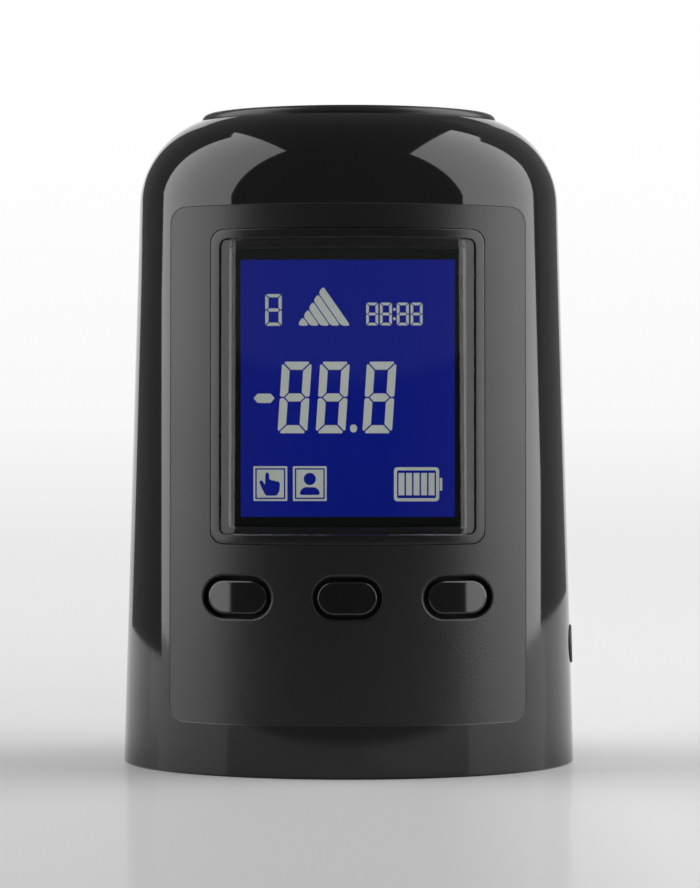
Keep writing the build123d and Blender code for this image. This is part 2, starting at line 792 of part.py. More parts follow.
charge_posts = [(charge_board_back + CHARGE_POST_EDGE, side * CHARGE_POST_Y) for side in (-1, 1)]
with BuildPart() as charge_board:
    with BuildSketch(Plane.XY.offset(charge_board_low)):
        with Locations(((charge_board_back + charge_board_front) / 2, 0)):
            Rectangle(CHARGE_BOARD_LENGTH, 2 * CHARGE_BOARD_HALF_WIDTH)
        with Locations(*charge_posts):
            Circle(CHARGE_PIN_RADIUS + FIT, mode=Mode.SUBTRACT)
    extrude(amount=CHARGE_BOARD_THICK)
write(charge_board.part, "charge_board")

# --- Foot ---------------------------------------------------------------------

plate_radius = body_radius(plate_high) - WALL - FIT
vent_start = VENT_MIDDLE_ANGLE - VENT_STEP * (VENT_COUNT - 1) / 2
with BuildPart() as base_plate:
    with BuildSketch(Plane.XY.offset(PLATE_LOW)):
        Circle(plate_radius)
    extrude(amount=PLATE_THICK)
    with BuildSketch(Plane.XY.offset(plate_high)):
        with Locations(*boss_points):
            Circle(BOSS_RADIUS)
    extrude(amount=SHELF_LOW - plate_high)
    with BuildSketch(Plane.XY.offset(plate_high)):
        with Locations(*charge_posts):
            Circle(CHARGE_POST_RADIUS)
    extrude(amount=charge_board_low - plate_high)
    with BuildSketch(Plane.XY.offset(charge_board_low)):
        with Locations(*charge_posts):
            Circle(CHARGE_PIN_RADIUS)
    extrude(amount=CHARGE_BOARD_THICK + FLOAT / 2)
    with BuildSketch(Plane.XY.offset(PLATE_LOW)):
        with Locations(*boss_points):
            Circle(SCREW_RADIUS + FIT)
    extrude(amount=SHELF_LOW - PLATE_LOW, mode=Mode.SUBTRACT)
    with BuildSketch(Plane.XY.offset(PLATE_LOW)):
        with Locations(*boss_points):
            Circle(SCREW_HEAD_RADIUS + FIT)
    extrude(amount=SCREW_HEAD_THICK, mode=Mode.SUBTRACT)
    with BuildSketch(Plane.XY.offset(PLATE_LOW)):
        Circle(SOCKET_RADIUS + SOCKET_WALL + FIT)
        with PolarLocations(
            VENT_RING_RADIUS, VENT_COUNT, start_angle=vent_start, angular_range=VENT_STEP * VENT_COUNT
        ):
            Circle(VENT_RADIUS)
    extrude(amount=PLATE_THICK, mode=Mode.SUBTRACT)
write(base_plate.part, "base_plate")

with BuildPart() as base_screws:
    with BuildSketch(Plane.XY.offset(PLATE_LOW)):
        with Locations(*boss_points):
            Circle(SCREW_HEAD_RADIUS)
            RegularPolygon(SCREW_RADIUS, SCREW_SOCKET_SIDES, mode=Mode.SUBTRACT)
    extrude(amount=SCREW_HEAD_THICK)
    screw_neck = PLATE_LOW + SCREW_HEAD_THICK / 2
    with BuildSketch(Plane.XY.offset(screw_neck)):
        with Locations(*boss_points):
            Circle(SCREW_RADIUS)
    extrude(amount=shelf_high + SCREW_ENGAGE - FLOAT - screw_neck)
write(base_screws.part, "base_screws")

barb_high_y = SOCKET_RADIUS + SOCKET_WALL + BARB_LENGTH
with BuildPart() as suction_socket:
    with BuildSketch(Plane.XY.offset(SOCKET_LOW)):
        Circle(SOCKET_RADIUS + SOCKET_WALL)
    extrude(amount=socket_top + SOCKET_ROOF - SOCKET_LOW)
    with BuildSketch(Plane.XY.offset(plate_high)):
        Circle(SOCKET_FLANGE_RADIUS)
    extrude(amount=SOCKET_FLANGE_THICK)
    with BuildSketch(Plane.XZ):
        with Locations((0, air_port_z)):
            Circle(HOSE_BORE)
    extrude(amount=-barb_high_y)
    chamfer(suction_socket.faces().sort_by(Axis.Z)[0].edges(), SOCKET_EDGE)
    with BuildSketch(Plane.XY.offset(SOCKET_LOW)):
        Circle(SOCKET_RADIUS)
    extrude(amount=SOCKET_DEPTH, mode=Mode.SUBTRACT)
    with BuildSketch(Plane.XY.offset(seal_low)):
        Circle(seal_radius)
    extrude(amount=SEAL_THICK, mode=Mode.SUBTRACT)
    with BuildSketch(Plane.XY.offset(socket_top)):
        Circle(FILTER_RADIUS)
    extrude(amount=air_port_z + NOZZLE_BORE - socket_top, mode=Mode.SUBTRACT)
    with BuildSketch(Plane.XZ):
        with Locations((0, air_port_z)):
            Circle(NOZZLE_BORE)
    extrude(amount=-barb_high_y, mode=Mode.SUBTRACT)
write(suction_socket.part, "suction_socket")
write(tube((0, 0), seal_low, socket_top, seal_radius, SEAL_INNER_RADIUS), "socket_seal")
write(tube((0, 0), socket_top, socket_top + FILTER_THICK, FILTER_RADIUS), "inlet_filter")

# --- Inner chassis ------------------------------------------------------------

pump_at = (PUMP_X, CORE_Y)
battery_at = (BATTERY_X, CORE_Y)
shelf_radius = body_radius(shelf_high) - WALL - FLOAT
upper_shelf_radius = body_radius(upper_shelf_low) - WALL - UPPER_SHELF_EDGE
notch_front = charge_board_front - JACK_LENGTH
wire_slot_left = PUMP_X - CONNECTOR_WIDTH / 2 - WIRE_SLOT_SIDE
wire_slot_right = BATTERY_WIRE_X + CONNECTOR_WIDTH / 2 + WIRE_SLOT_SIDE
with BuildPart() as inner_chassis:
    with BuildSketch(Plane.XY.offset(SHELF_LOW)):
        Circle(shelf_radius)
        with Locations((0, board_back + FLOAT)):
            Rectangle(4 * BASE_RADIUS, 2 * BASE_RADIUS, align=(Align.CENTER, Align.MAX), mode=Mode.SUBTRACT)
        with Locations(*boss_points):
            Circle(BOSS_RADIUS)
    extrude(amount=SHELF_THICK)
    with BuildSketch(Plane.XY.offset(upper_shelf_low)):
        Circle(upper_shelf_radius)
        with Locations((0, spine_front)):
            Rectangle(4 * BASE_RADIUS, 2 * BASE_RADIUS, align=(Align.CENTER, Align.MAX), mode=Mode.SUBTRACT)
    extrude(amount=UPPER_SHELF_THICK)
    with BuildSketch(Plane.XY.offset(SHELF_LOW)):
        with Locations((0, (spine_front + spine_back) / 2)):
            Rectangle(2 * SPINE_HALF_WIDTH, SPINE_THICK)
    extrude(amount=upper_shelf_low + UPPER_SHELF_THICK - SHELF_LOW)
    with BuildSketch(Plane.XZ.offset(-spine_front)):
        with Locations(*board_screws_at):
            Circle(STANDOFF_RADIUS)
    extrude(amount=BOARD_STANDOFF)
    # cradles round the pump and both ends of the battery, open towards the wires
    for centre, radius, low, grow in (
        (pump_at, PUMP_RADIUS, shelf_high, CRADLE_HEIGHT),
        (battery_at, BATTERY_RADIUS, shelf_high, CRADLE_HEIGHT),
        (battery_at, BATTERY_RADIUS, upper_shelf_low, -CRADLE_HEIGHT),
    ):
        with BuildSketch(Plane.XY.offset(low)):
            with Locations(centre):
                Circle(radius + 2 * FIT + CRADLE_WALL)
                Circle(radius + 2 * FIT, mode=Mode.SUBTRACT)
                Rectangle(
                    4 * radius, 4 * radius, align=(Align.CENTER, Align.MAX), mode=Mode.SUBTRACT
                )
        extrude(amount=grow)
    # ways through: screws, board screws, sensor nozzle, wires, suction hose, charging jack
    with BuildSketch(Plane.XY.offset(SHELF_LOW)):
        with Locations(*boss_points):
            Circle(SCREW_RADIUS + FIT)
        with Locations(((wire_slot_left + wire_slot_right) / 2, wire_y)):
            Rectangle(wire_slot_right - wire_slot_left, 2 * (WIRE_RADIUS + WIRE_SLOT_GAP))
        with Locations((0, air_y)):
            Circle(HOSE_RADIUS + FLOAT)
        with Locations((notch_front, 0)):
            Rectangle(BASE_RADIUS, JACK_WIDTH + 2 * NOTCH_SIDE, align=(Align.MIN, Align.CENTER))
    extrude(amount=SHELF_THICK, mode=Mode.SUBTRACT)
    with BuildSketch(Plane.XZ.offset(-spine_back)):
        with Locations(*board_screws_at):
            Circle(BOARD_SCREW_RADIUS)
        with Locations((SENSOR_PORT_X, sensor_port_z)):
            Circle(SENSOR_HOLE)
    extrude(amount=SPINE_THICK + BOARD_STANDOFF, mode=Mode.SUBTRACT)
write(inner_chassis.part, "inner_chassis")

# --- Battery ------------------------------------------------------------------

with BuildPart() as battery_cell:
    with BuildSketch(Plane.XY.offset(battery_low)):
        with Locations(battery_at):
            Circle(BATTERY_RADIUS)
    extrude(amount=battery_high - battery_low)
    fillet(battery_cell.edges().filter_by(GeomType.CIRCLE), BATTERY_EDGE)
write(battery_cell.part, "battery_cell")

with BuildPart() as battery_tabs:
    for low in (battery_low - TAB_THICK, battery_high):
        with BuildSketch(Plane.XY.offset(low)):
            with Locations((BATTERY_X, CORE_Y)):
                Rectangle(TAB_WIDTH, TAB_REACH, align=(Align.CENTER, Align.MAX))
        extrude(amount=TAB_THICK)
write(battery_tabs.part, "battery_tabs")
tab_front = CORE_Y - TAB_REACH

# --- Pump ---------------------------------------------------------------------

screw_points = ring_of(pump_at, pump_screw_ring, PUMP_SCREW_COUNT, PUMP_SCREW_FIRST_ANGLE)
check_points = ring_of(pump_at, check_ring, CHECK_COUNT, CHECK_FIRST_ANGLE)
outlet_y = CORE_Y - NOZZLE_OFFSET
nozzle_tip_y = CORE_Y + PUMP_RADIUS + NOZZLE_LENGTH
nozzle_tip_x = PUMP_X + depth_at(PUMP_RADIUS, NOZZLE_OFFSET) + NOZZLE_LENGTH

inlet_nozzle = level_tube(
    Plane.XZ.offset(-nozzle_tip_y), (PUMP_X, nozzle_z), NOZZLE_LENGTH + NOZZLE_ROOT, NOZZLE_RADIUS
)
outlet_nozzle = level_tube(
    Plane.YZ.offset(nozzle_tip_x), (outlet_y, nozzle_z), -(NOZZLE_LENGTH + NOZZLE_ROOT), NOZZLE_RADIUS
)
inlet_bore = level_tube(
    Plane.XZ.offset(-nozzle_tip_y), (PUMP_X, nozzle_z), nozzle_tip_y - CORE_Y, NOZZLE_BORE
)
outlet_bore = level_tube(
    Plane.YZ.offset(nozzle_tip_x), (outlet_y, nozzle_z), PUMP_X - nozzle_tip_x, NOZZLE_BORE
)
with BuildPart() as pump_cover:
    with BuildSketch(Plane.XY.offset(pump_low)):
        with Locations(pump_at):
            Circle(PUMP_RADIUS)
    extrude(amount=COVER_HEIGHT)
    chamfer(pump_cover.edges().group_by(Axis.Z)[0], PUMP_EDGE)
    add(inlet_nozzle)
    add(outlet_nozzle)
    with BuildSketch(Plane.XY.offset(cover_high)):
        with Locations(pump_at):
            Circle(cover_cavity)
    extrude(amount=-COVER_CAVITY_DEPTH, mode=Mode.SUBTRACT)
    add(inlet_bore, mode=Mode.SUBTRACT)
    add(outlet_bore, mode=Mode.SUBTRACT)
    with BuildSketch(Plane.XY.offset(pump_low)):
        with Locations(*screw_points):
            Circle(PUMP_SCREW_RADIUS + FIT)
    extrude(amount=COVER_HEIGHT, mode=Mode.SUBTRACT)
write(pump_cover.part, "pump_cover")

with BuildPart() as flap_valves:
    with BuildSketch(Plane.XY.offset(check_low)):
        with Locations(*check_points):
            Circle(CHECK_RADIUS)
    extrude(amount=CHECK_THICK)
write(flap_valves.part, "flap_valves")

with BuildPart() as valve_plate:
    with BuildSketch(Plane.XY.offset(cover_high)):
        with Locations(pump_at):
            Circle(PUMP_RADIUS)
        with Locations(*check_points):
            Circle(CHECK_HOLE, mode=Mode.SUBTRACT)
        with Locations(*screw_points):
            Circle(PUMP_SCREW_RADIUS + FIT, mode=Mode.SUBTRACT)
    extrude(amount=VALVE_PLATE_THICK)
write(valve_plate.part, "valve_plate")

with BuildPart() as diaphragm:
    with BuildSketch(Plane.XY.offset(diaphragm_low)):
        with Locations(pump_at):
            Circle(PUMP_RADIUS)
        with Locations(*screw_points):
            Circle(PUMP_SCREW_RADIUS + FIT, mode=Mode.SUBTRACT)
    extrude(amount=DIAPHRAGM_THICK)
    with BuildSketch(Plane.XY.offset(case_low)):
        with Locations(*check_points):
            Circle(NUB_RADIUS)
    extrude(amount=NUB_HEIGHT)
write(diaphragm.part, "diaphragm")

pin_tip = (PUMP_X, CORE_Y, spider_low + SPIDER_THICK / 2)
with BuildPart() as wobble_plate:
    with BuildSketch(Plane.XY.offset(spider_low)):
        with Locations(pump_at):
            Circle(SPIDER_HUB_RADIUS)
        with Locations(*check_points):
            Circle(SPIDER_ARM / 2)
        with Locations(pump_at):
            with PolarLocations(check_ring / 2, CHECK_COUNT, start_angle=CHECK_FIRST_ANGLE):
                Rectangle(check_ring, SPIDER_ARM)
    extrude(amount=SPIDER_THICK)
    with BuildSketch(Plane.XY.offset(spider_low)):
        with Locations(pump_at):
            Circle(SPIDER_HUB_RADIUS)
    extrude(amount=SPIDER_HUB_HEIGHT)
    # the pin rocks the plate from inside this cone, whose point is the centre of the rocking
    cone_rise = hub_high - pin_tip[2]
    cone_wide = cone_rise * math.tan(math.radians(PIN_LEAN)) + 2 * PIN_RADIUS
    with BuildSketch(Plane.XY.offset(pin_tip[2] - PIN_RADIUS)):
        with Locations(pump_at):
            Circle(PIN_SEAT)
    with BuildSketch(Plane.XY.offset(hub_high)):
        with Locations(pump_at):
            Circle(cone_wide)
    loft(mode=Mode.SUBTRACT)
write(wobble_plate.part, "wobble_plate")

with BuildPart() as crank_case:
    with BuildSketch(Plane.XY.offset(case_low)):
        with Locations(pump_at):
            Circle(PUMP_RADIUS)
    extrude(amount=CASE_HEIGHT)
    with BuildSketch(Plane.XY.offset(case_low)):
        with Locations(pump_at):
            Circle(pump_screw_ring - CASE_POST)
    extrude(amount=CASE_HEIGHT - CASE_WALL, mode=Mode.SUBTRACT)
    with BuildSketch(Plane.XY.offset(case_low)):
        with Locations(pump_at):
            Circle(BUSHING_RADIUS + FIT)
    extrude(amount=CASE_HEIGHT, mode=Mode.SUBTRACT)
    with BuildSketch(Plane.XY.offset(case_low)):
        with Locations(*screw_points):
            Circle(PUMP_SCREW_RADIUS)
    extrude(amount=CASE_HEIGHT - CASE_WALL, mode=Mode.SUBTRACT)
write(crank_case.part, "crank_case")

with BuildPart() as pump_screws:
    with BuildSketch(Plane.XY.offset(pump_low + RUN)):
        with Locations(*screw_points):
            Circle(PUMP_SCREW_RADIUS)
    extrude(amount=case_high - CASE_WALL - FLOAT - pump_low)
write(pump_screws.part, "pump_screws")

pin_rise = math.cos(math.radians(PIN_LEAN)) * PIN_LENGTH
pin_shift = math.sin(math.radians(PIN_LEAN)) * PIN_LENGTH
pin_plane = Plane(origin=pin_tip, z_dir=(pin_shift, 0, pin_rise))
with BuildPart() as wobble_pin:
    with BuildSketch(pin_plane):
        Circle(PIN_RADIUS)
    extrude(amount=PIN_LENGTH)
write(wobble_pin.part, "wobble_pin")

pin_hole = wobble_pin.part
with BuildPart() as crank_wheel:
    with BuildSketch(Plane.XY.offset(wheel_low)):
        with Locations(pump_at):
            Circle(WHEEL_RADIUS)
    extrude(amount=WHEEL_THICK)
    with BuildSketch(Plane.XY.offset(wheel_low + WHEEL_THICK / 2)):
        with Locations(pump_at):
            Circle(SHAFT_RADIUS)
    extrude(amount=WHEEL_THICK, mode=Mode.SUBTRACT)
    add(pin_hole, mode=Mode.SUBTRACT)
write(crank_wheel.part, "crank_wheel")

# --- Motor --------------------------------------------------------------------

can_floor = case_high + MOTOR_SKIN
with BuildPart() as motor_can:
    with BuildSketch(Plane.XY.offset(case_high)):
        with Locations(pump_at):
            Circle(MOTOR_RADIUS)
    extrude(amount=MOTOR_LENGTH)
    with BuildSketch(Plane.XY.offset(can_floor)):
        with Locations(pump_at):
            Circle(magnet_radius)
    extrude(amount=MOTOR_LENGTH, mode=Mode.SUBTRACT)
    with BuildSketch(Plane.XY.offset(case_high)):
        with Locations(pump_at):
            Circle(BUSHING_RADIUS)
    extrude(amount=MOTOR_LENGTH, mode=Mode.SUBTRACT)
write(motor_can.part, "motor_can")

with BuildPart() as motor_magnets:
    with BuildSketch(Plane.XY.offset(magnet_low)):
        with Locations(pump_at):
            Circle(magnet_radius)
            Circle(magnet_radius - MAGNET_THICK, mode=Mode.SUBTRACT)
            Rectangle(
                2 * magnet_radius * math.cos(math.radians(MAGNET_SPAN / 2)),
                2 * MOTOR_RADIUS,
                mode=Mode.SUBTRACT,
            )
    extrude(amount=MAGNET_LENGTH)
write(motor_magnets.part, "motor_magnets")

shaft_low = wheel_low + WHEEL_THICK / 2
with BuildPart() as motor_armature:
    with BuildSketch(Plane.XY.offset(armature_low)):
        with Locations(pump_at):
            Circle(armature_radius)
            with PolarLocations((armature_radius + ARMATURE_HUB) / 2, 3):
                Rectangle(armature_radius - ARMATURE_HUB + OVERCUT, ARMATURE_SLOT, mode=Mode.SUBTRACT)
    extrude(amount=ARMATURE_LENGTH)
    with BuildSketch(Plane.XY.offset(armature_high)):
        with Locations(pump_at):
            Circle(COMMUTATOR_RADIUS)
    extrude(amount=commutator_high - armature_high)
    with BuildSketch(Plane.XY.offset(armature_low)):
        with Locations(pump_at):
            Circle(SHAFT_RADIUS)
    extrude(amount=commutator_high - armature_low, mode=Mode.SUBTRACT)
write(motor_armature.part, "motor_armature")

shaft_high = motor_high + END_CAP_THICK - FLOAT
write(tube(pump_at, shaft_low, shaft_high, SHAFT_RADIUS), "motor_shaft")

with BuildPart() as motor_bushings:
    for low in (case_high - CASE_WALL, motor_high - BUSHING_LENGTH):
        with BuildSketch(Plane.XY.offset(low)):
            with Locations(pump_at):
                Circle(BUSHING_RADIUS)
                Circle(SHAFT_RADIUS + RUN, mode=Mode.SUBTRACT)
        extrude(amount=BUSHING_LENGTH)
write(motor_bushings.part, "motor_bushings")

cap_well = END_CAP_THICK - FLOAT + RUN
terminal_points = [(PUMP_X + side * TERMINAL_PITCH / 2, CORE_Y + TERMINAL_BACK) for side in (-1, 1)]
with BuildPart() as motor_end_cap:
    with BuildSketch(Plane.XY.offset(motor_high)):
        with Locations(pump_at):
            Circle(MOTOR_RADIUS)
    extrude(amount=END_CAP_THICK)
    with BuildSketch(Plane.XY.offset(motor_high)):
        with Locations(pump_at):
            Circle(magnet_radius)
            Circle(BUSHING_RADIUS, mode=Mode.SUBTRACT)
    extrude(amount=-END_CAP_LIP)
    with BuildSketch(Plane.XY.offset(motor_high)):
        with Locations(pump_at):
            Circle(SHAFT_RADIUS + RUN)
    extrude(amount=cap_well, mode=Mode.SUBTRACT)
write(motor_end_cap.part, "motor_end_cap")

end_cap_high = motor_high + END_CAP_THICK
with BuildPart() as motor_terminals:
    with BuildSketch(Plane.XY.offset(end_cap_high)):
        with Locations(*terminal_points):
            Rectangle(TERMINAL_THICK, TERMINAL_WIDTH)
    extrude(amount=TERMINAL_HEIGHT)
write(motor_terminals.part, "motor_terminals")

# --- Air path -----------------------------------------------------------------

manifold_back = air_y + MANIFOLD_DEPTH / 2
manifold_face = air_y - MANIFOLD_DEPTH / 2
manifold_block = block(
    (MANIFOLD_LEFT, manifold_face, manifold_low), (MANIFOLD_RIGHT, manifold_back, manifold_high)
)
barb_low = manifold_low - BARB_LENGTH
barb_high = manifold_high + BARB_LENGTH
upright_barbs = tube((0, air_y), barb_low, barb_high, HOSE_BORE)
upright_bore = tube((0, air_y), barb_low, barb_high, NOZZLE_BORE)
side_barb = level_tube(
    Plane.YZ.offset(MANIFOLD_LEFT - BARB_LENGTH), (air_y, pump_port_z), BARB_LENGTH, HOSE_BORE
)
side_bore = level_tube(
    Plane.YZ.offset(MANIFOLD_LEFT - BARB_LENGTH), (air_y, pump_port_z), BARB_LENGTH - MANIFOLD_LEFT,
    NOZZLE_BORE,
)
sensor_barb = level_tube(
    Plane.XZ.offset(-manifold_face), (SENSOR_PORT_X, sensor_port_z), BARB_LENGTH, HOSE_BORE
)
sensor_bore = level_tube(
    Plane.XZ.offset(-air_y), (SENSOR_PORT_X, sensor_port_z), BARB_LENGTH + MANIFOLD_DEPTH / 2, NOZZLE_BORE
)
cross_bore = level_tube(Plane.YZ, (air_y, sensor_port_z), SENSOR_PORT_X + NOZZLE_BORE, NOZZLE_BORE)
with BuildPart() as air_manifold:
    add(manifold_block)
    add(upright_barbs)
    add(side_barb)
    add(sensor_barb)
    for bore in (upright_bore, side_bore, sensor_bore, cross_bore):
        add(bore, mode=Mode.SUBTRACT)
write(air_manifold.part, "air_manifold")

socket_side = SOCKET_RADIUS + SOCKET_WALL + HOSE_GAP
write(
    routed(
        [(0, socket_side, air_port_z), (0, air_y, air_port_z), (0, air_y, manifold_low - HOSE_GAP)],
        HOSE_BEND, HOSE_RADIUS, HOSE_BORE,
    ),
    "suction_hose",
)
write(
    routed(
        [
            (PUMP_X, CORE_Y + PUMP_RADIUS + HOSE_GAP, nozzle_z),
            (PUMP_X, air_y, nozzle_z),
            (PUMP_X, air_y, pump_port_z),
            (MANIFOLD_LEFT - HOSE_GAP, air_y, pump_port_z),
        ],
        HOSE_BEND, HOSE_RADIUS, HOSE_BORE,
    ),
    "pump_hose",
)
sensor_hose_start = manifold_face - HOSE_GAP
sensor_hose_length = sensor_hose_start - sensor_face - HOSE_GAP
write(
    level_tube(
        Plane.XZ.offset(-sensor_hose_start), (SENSOR_PORT_X, sensor_port_z), sensor_hose_length,
        HOSE_RADIUS, HOSE_BORE,
    ),
    "sensor_hose",
)
write(
    tube((0, air_y), manifold_high + HOSE_GAP, valve_low - HOSE_GAP, HOSE_RADIUS, HOSE_BORE), "valve_hose"
)

# --- Release valve ------------------------------------------------------------

valve_block = block(
    (-VALVE_WIDTH / 2, air_y - VALVE_DEPTH / 2, valve_low),
    (VALVE_WIDTH / 2, air_y + VALVE_DEPTH / 2, yoke_low),
)
valve_barb = tube((0, air_y), valve_low - BARB_LENGTH, valve_low, HOSE_BORE)
with BuildPart() as valve_body:
    add(valve_block)
    add(valve_barb)
    with BuildSketch(Plane.XY.offset(valve_low - BARB_LENGTH)):
        with Locations((0, air_y)):
            Circle(NOZZLE_BORE)
    extrude(amount=BARB_LENGTH + VALVE_BODY_HEIGHT, mode=Mode.SUBTRACT)
write(valve_body.part, "valve_body")

with BuildPart() as valve_yoke:
    with BuildSketch(Plane.XY.offset(yoke_low)):
        with Locations((0, air_y)):
            Rectangle(VALVE_WIDTH, VALVE_DEPTH)
            Rectangle(VALVE_WIDTH - 2 * YOKE_SKIN, VALVE_DEPTH, mode=Mode.SUBTRACT)
    extrude(amount=YOKE_HEIGHT)
    with BuildSketch(Plane.XY.offset(valve_high - YOKE_SKIN)):
        with Locations((0, air_y)):
            Rectangle(VALVE_WIDTH, VALVE_DEPTH)
    extrude(amount=YOKE_SKIN)
write(valve_yoke.part, "valve_yoke")

coil_high = valve_high - YOKE_SKIN
write(tube((0, air_y), yoke_low, coil_high, COIL_RADIUS, COIL_BORE), "valve_coil")
core_high = core_low + CORE_LENGTH
write(tube((0, air_y), core_low, core_high, CORE_RADIUS), "valve_core")

spring_low = core_high + SPRING_WIRE
spring_high = coil_high - SPRING_WIRE
spring_pitch = (spring_high - spring_low) / SPRING_TURNS
with BuildLine() as coil_line:
    Helix(spring_pitch, spring_high - spring_low, SPRING_RADIUS, center=(0, air_y, spring_low))
with BuildPart() as valve_spring:
    with BuildSketch(Plane(coil_line.line @ 0, z_dir=coil_line.line % 0)):
        Circle(SPRING_WIRE)
    sweep(path=coil_line.line)
write(valve_spring.part, "valve_spring")

# --- Wires --------------------------------------------------------------------


def lead(x, y, z):
    """Wire from a terminal at (x, y, z) forward, down past the shelf and on to its connector."""
    points = [(x, y, z), (x, wire_y, z), (x, wire_y, WIRE_Z), (x, connector_back, WIRE_Z)]
    return routed(points, WIRE_BEND, WIRE_RADIUS)


def pair(x):
    """Two side by side wire places about x."""
    return x - WIRE_PITCH / 2, x + WIRE_PITCH / 2


battery_minus_x, battery_plus_x = pair(BATTERY_WIRE_X)
power_wires = [
    lead(battery_minus_x, tab_front + TAB_LAP, battery_low + WIRE_RADIUS),
    lead(battery_plus_x, tab_front + TAB_LAP, battery_high - WIRE_RADIUS),
]
for x in pair(CHARGE_WIRE_X):
    power_wires.append(lead(x, -CHARGE_POST_Y, charge_board_high + WIRE_RADIUS))
with BuildPart() as power_leads:
    for wire in power_wires:
        add(wire)
write(power_leads.part, "power_leads")

drive_wires = []
for x, y in terminal_points:
    drive_wires.append(lead(x, y - TERMINAL_WIDTH / 2, end_cap_high + TERMINAL_HEIGHT / 2))
for x in pair(VALVE_WIRE_X):
    coil_face = air_y - depth_at(COIL_RADIUS, abs(x) - WIRE_RADIUS) - RUN
    drive_wires.append(lead(x, coil_face, coil_high - VALVE_WIRE_DROP))
with BuildPart() as drive_leads:
    for wire in drive_wires:
        add(wire)
write(drive_leads.part, "drive_leads")
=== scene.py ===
import json
import logging
import math
from contextlib import contextmanager
from dataclasses import dataclass, field, replace
from enum import Enum
from typing import Callable, Iterator, Mapping, Optional, Sequence, Union

import bmesh
import bpy
import numpy as np
from mathutils import Matrix, Vector
from mathutils.geometry import delaunay_2d_cdt


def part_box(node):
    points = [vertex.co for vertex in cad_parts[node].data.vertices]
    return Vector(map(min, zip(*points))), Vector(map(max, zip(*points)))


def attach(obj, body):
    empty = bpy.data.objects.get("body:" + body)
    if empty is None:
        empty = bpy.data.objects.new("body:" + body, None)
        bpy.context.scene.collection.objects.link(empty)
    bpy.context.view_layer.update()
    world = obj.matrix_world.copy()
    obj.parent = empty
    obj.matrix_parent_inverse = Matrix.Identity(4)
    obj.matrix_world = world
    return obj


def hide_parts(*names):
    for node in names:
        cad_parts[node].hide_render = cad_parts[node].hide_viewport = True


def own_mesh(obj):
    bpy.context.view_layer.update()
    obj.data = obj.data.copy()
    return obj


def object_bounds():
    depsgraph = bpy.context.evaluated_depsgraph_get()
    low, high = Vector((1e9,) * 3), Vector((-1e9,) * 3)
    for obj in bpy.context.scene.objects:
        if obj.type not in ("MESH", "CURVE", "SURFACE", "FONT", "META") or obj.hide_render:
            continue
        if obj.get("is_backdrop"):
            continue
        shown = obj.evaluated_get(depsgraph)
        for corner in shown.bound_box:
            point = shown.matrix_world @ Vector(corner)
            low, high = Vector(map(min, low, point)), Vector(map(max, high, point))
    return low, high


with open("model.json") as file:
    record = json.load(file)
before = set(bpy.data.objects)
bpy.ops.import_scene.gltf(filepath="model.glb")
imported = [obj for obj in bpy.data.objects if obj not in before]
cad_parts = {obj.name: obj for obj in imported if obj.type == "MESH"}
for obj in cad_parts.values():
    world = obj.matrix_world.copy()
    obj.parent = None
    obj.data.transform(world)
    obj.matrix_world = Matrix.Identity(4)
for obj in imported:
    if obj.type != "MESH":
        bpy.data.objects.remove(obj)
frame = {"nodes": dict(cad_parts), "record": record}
CAD_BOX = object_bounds()

LOG = logging.getLogger("extractor")
MM = 0.001
FULL_TURN = 2 * math.pi
SHARP_ANGLE = math.radians(32)
HAIR = 0.001
TREE_WELD = 0.000001
MESH_WELD = 0.0000005
SHADER = "Principled BSDF"
OUTPUT = "Material Output"
WHITE = (1.0, 1.0, 1.0, 1.0)

Colour = tuple[float, float, float]
Ring = list[int]
Point = tuple[float, float]
Section = list[Point]
Place = Callable[[float, float], Vector]
Settings = Optional[Mapping[str, object]]
Values = Optional[Mapping[Union[int, str], object]]


# --- Node trees -------------------------------------------------------------------------


class Wire:
    """A node's output that can be used in arithmetic, with numbers or other outputs."""

    def __init__(self, graph: "Graph", socket: bpy.types.NodeSocket) -> None:
        """Wraps a node output of a tree."""
        self.graph = graph
        self.socket = socket

    def math(self, operation: str, *values: "Value") -> "Wire":
        """Adds a Math node with this wire as its first value."""
        return self.graph.math(operation, self, *values)

    def clamp(self) -> "Wire":
        """Keeps the value between 0 and 1."""
        return self.math("MAXIMUM", 0.0).math("MINIMUM", 1.0)

    def __add__(self, other: "Value") -> "Wire":
        """Sum."""
        return self.graph.math("ADD", self, other)

    def __radd__(self, other: "Value") -> "Wire":
        """Reflected sum."""
        return self.graph.math("ADD", other, self)

    def __sub__(self, other: "Value") -> "Wire":
        """Difference."""
        return self.graph.math("SUBTRACT", self, other)

    def __rsub__(self, other: "Value") -> "Wire":
        """Reflected difference."""
        return self.graph.math("SUBTRACT", other, self)

    def __mul__(self, other: "Value") -> "Wire":
        """Product."""
        return self.graph.math("MULTIPLY", self, other)

    def __rmul__(self, other: "Value") -> "Wire":
        """Reflected product."""
        return self.graph.math("MULTIPLY", other, self)

    def __truediv__(self, other: "Value") -> "Wire":
        """Quotient."""
        return self.graph.math("DIVIDE", self, other)


Value = Union[float, int, Wire]


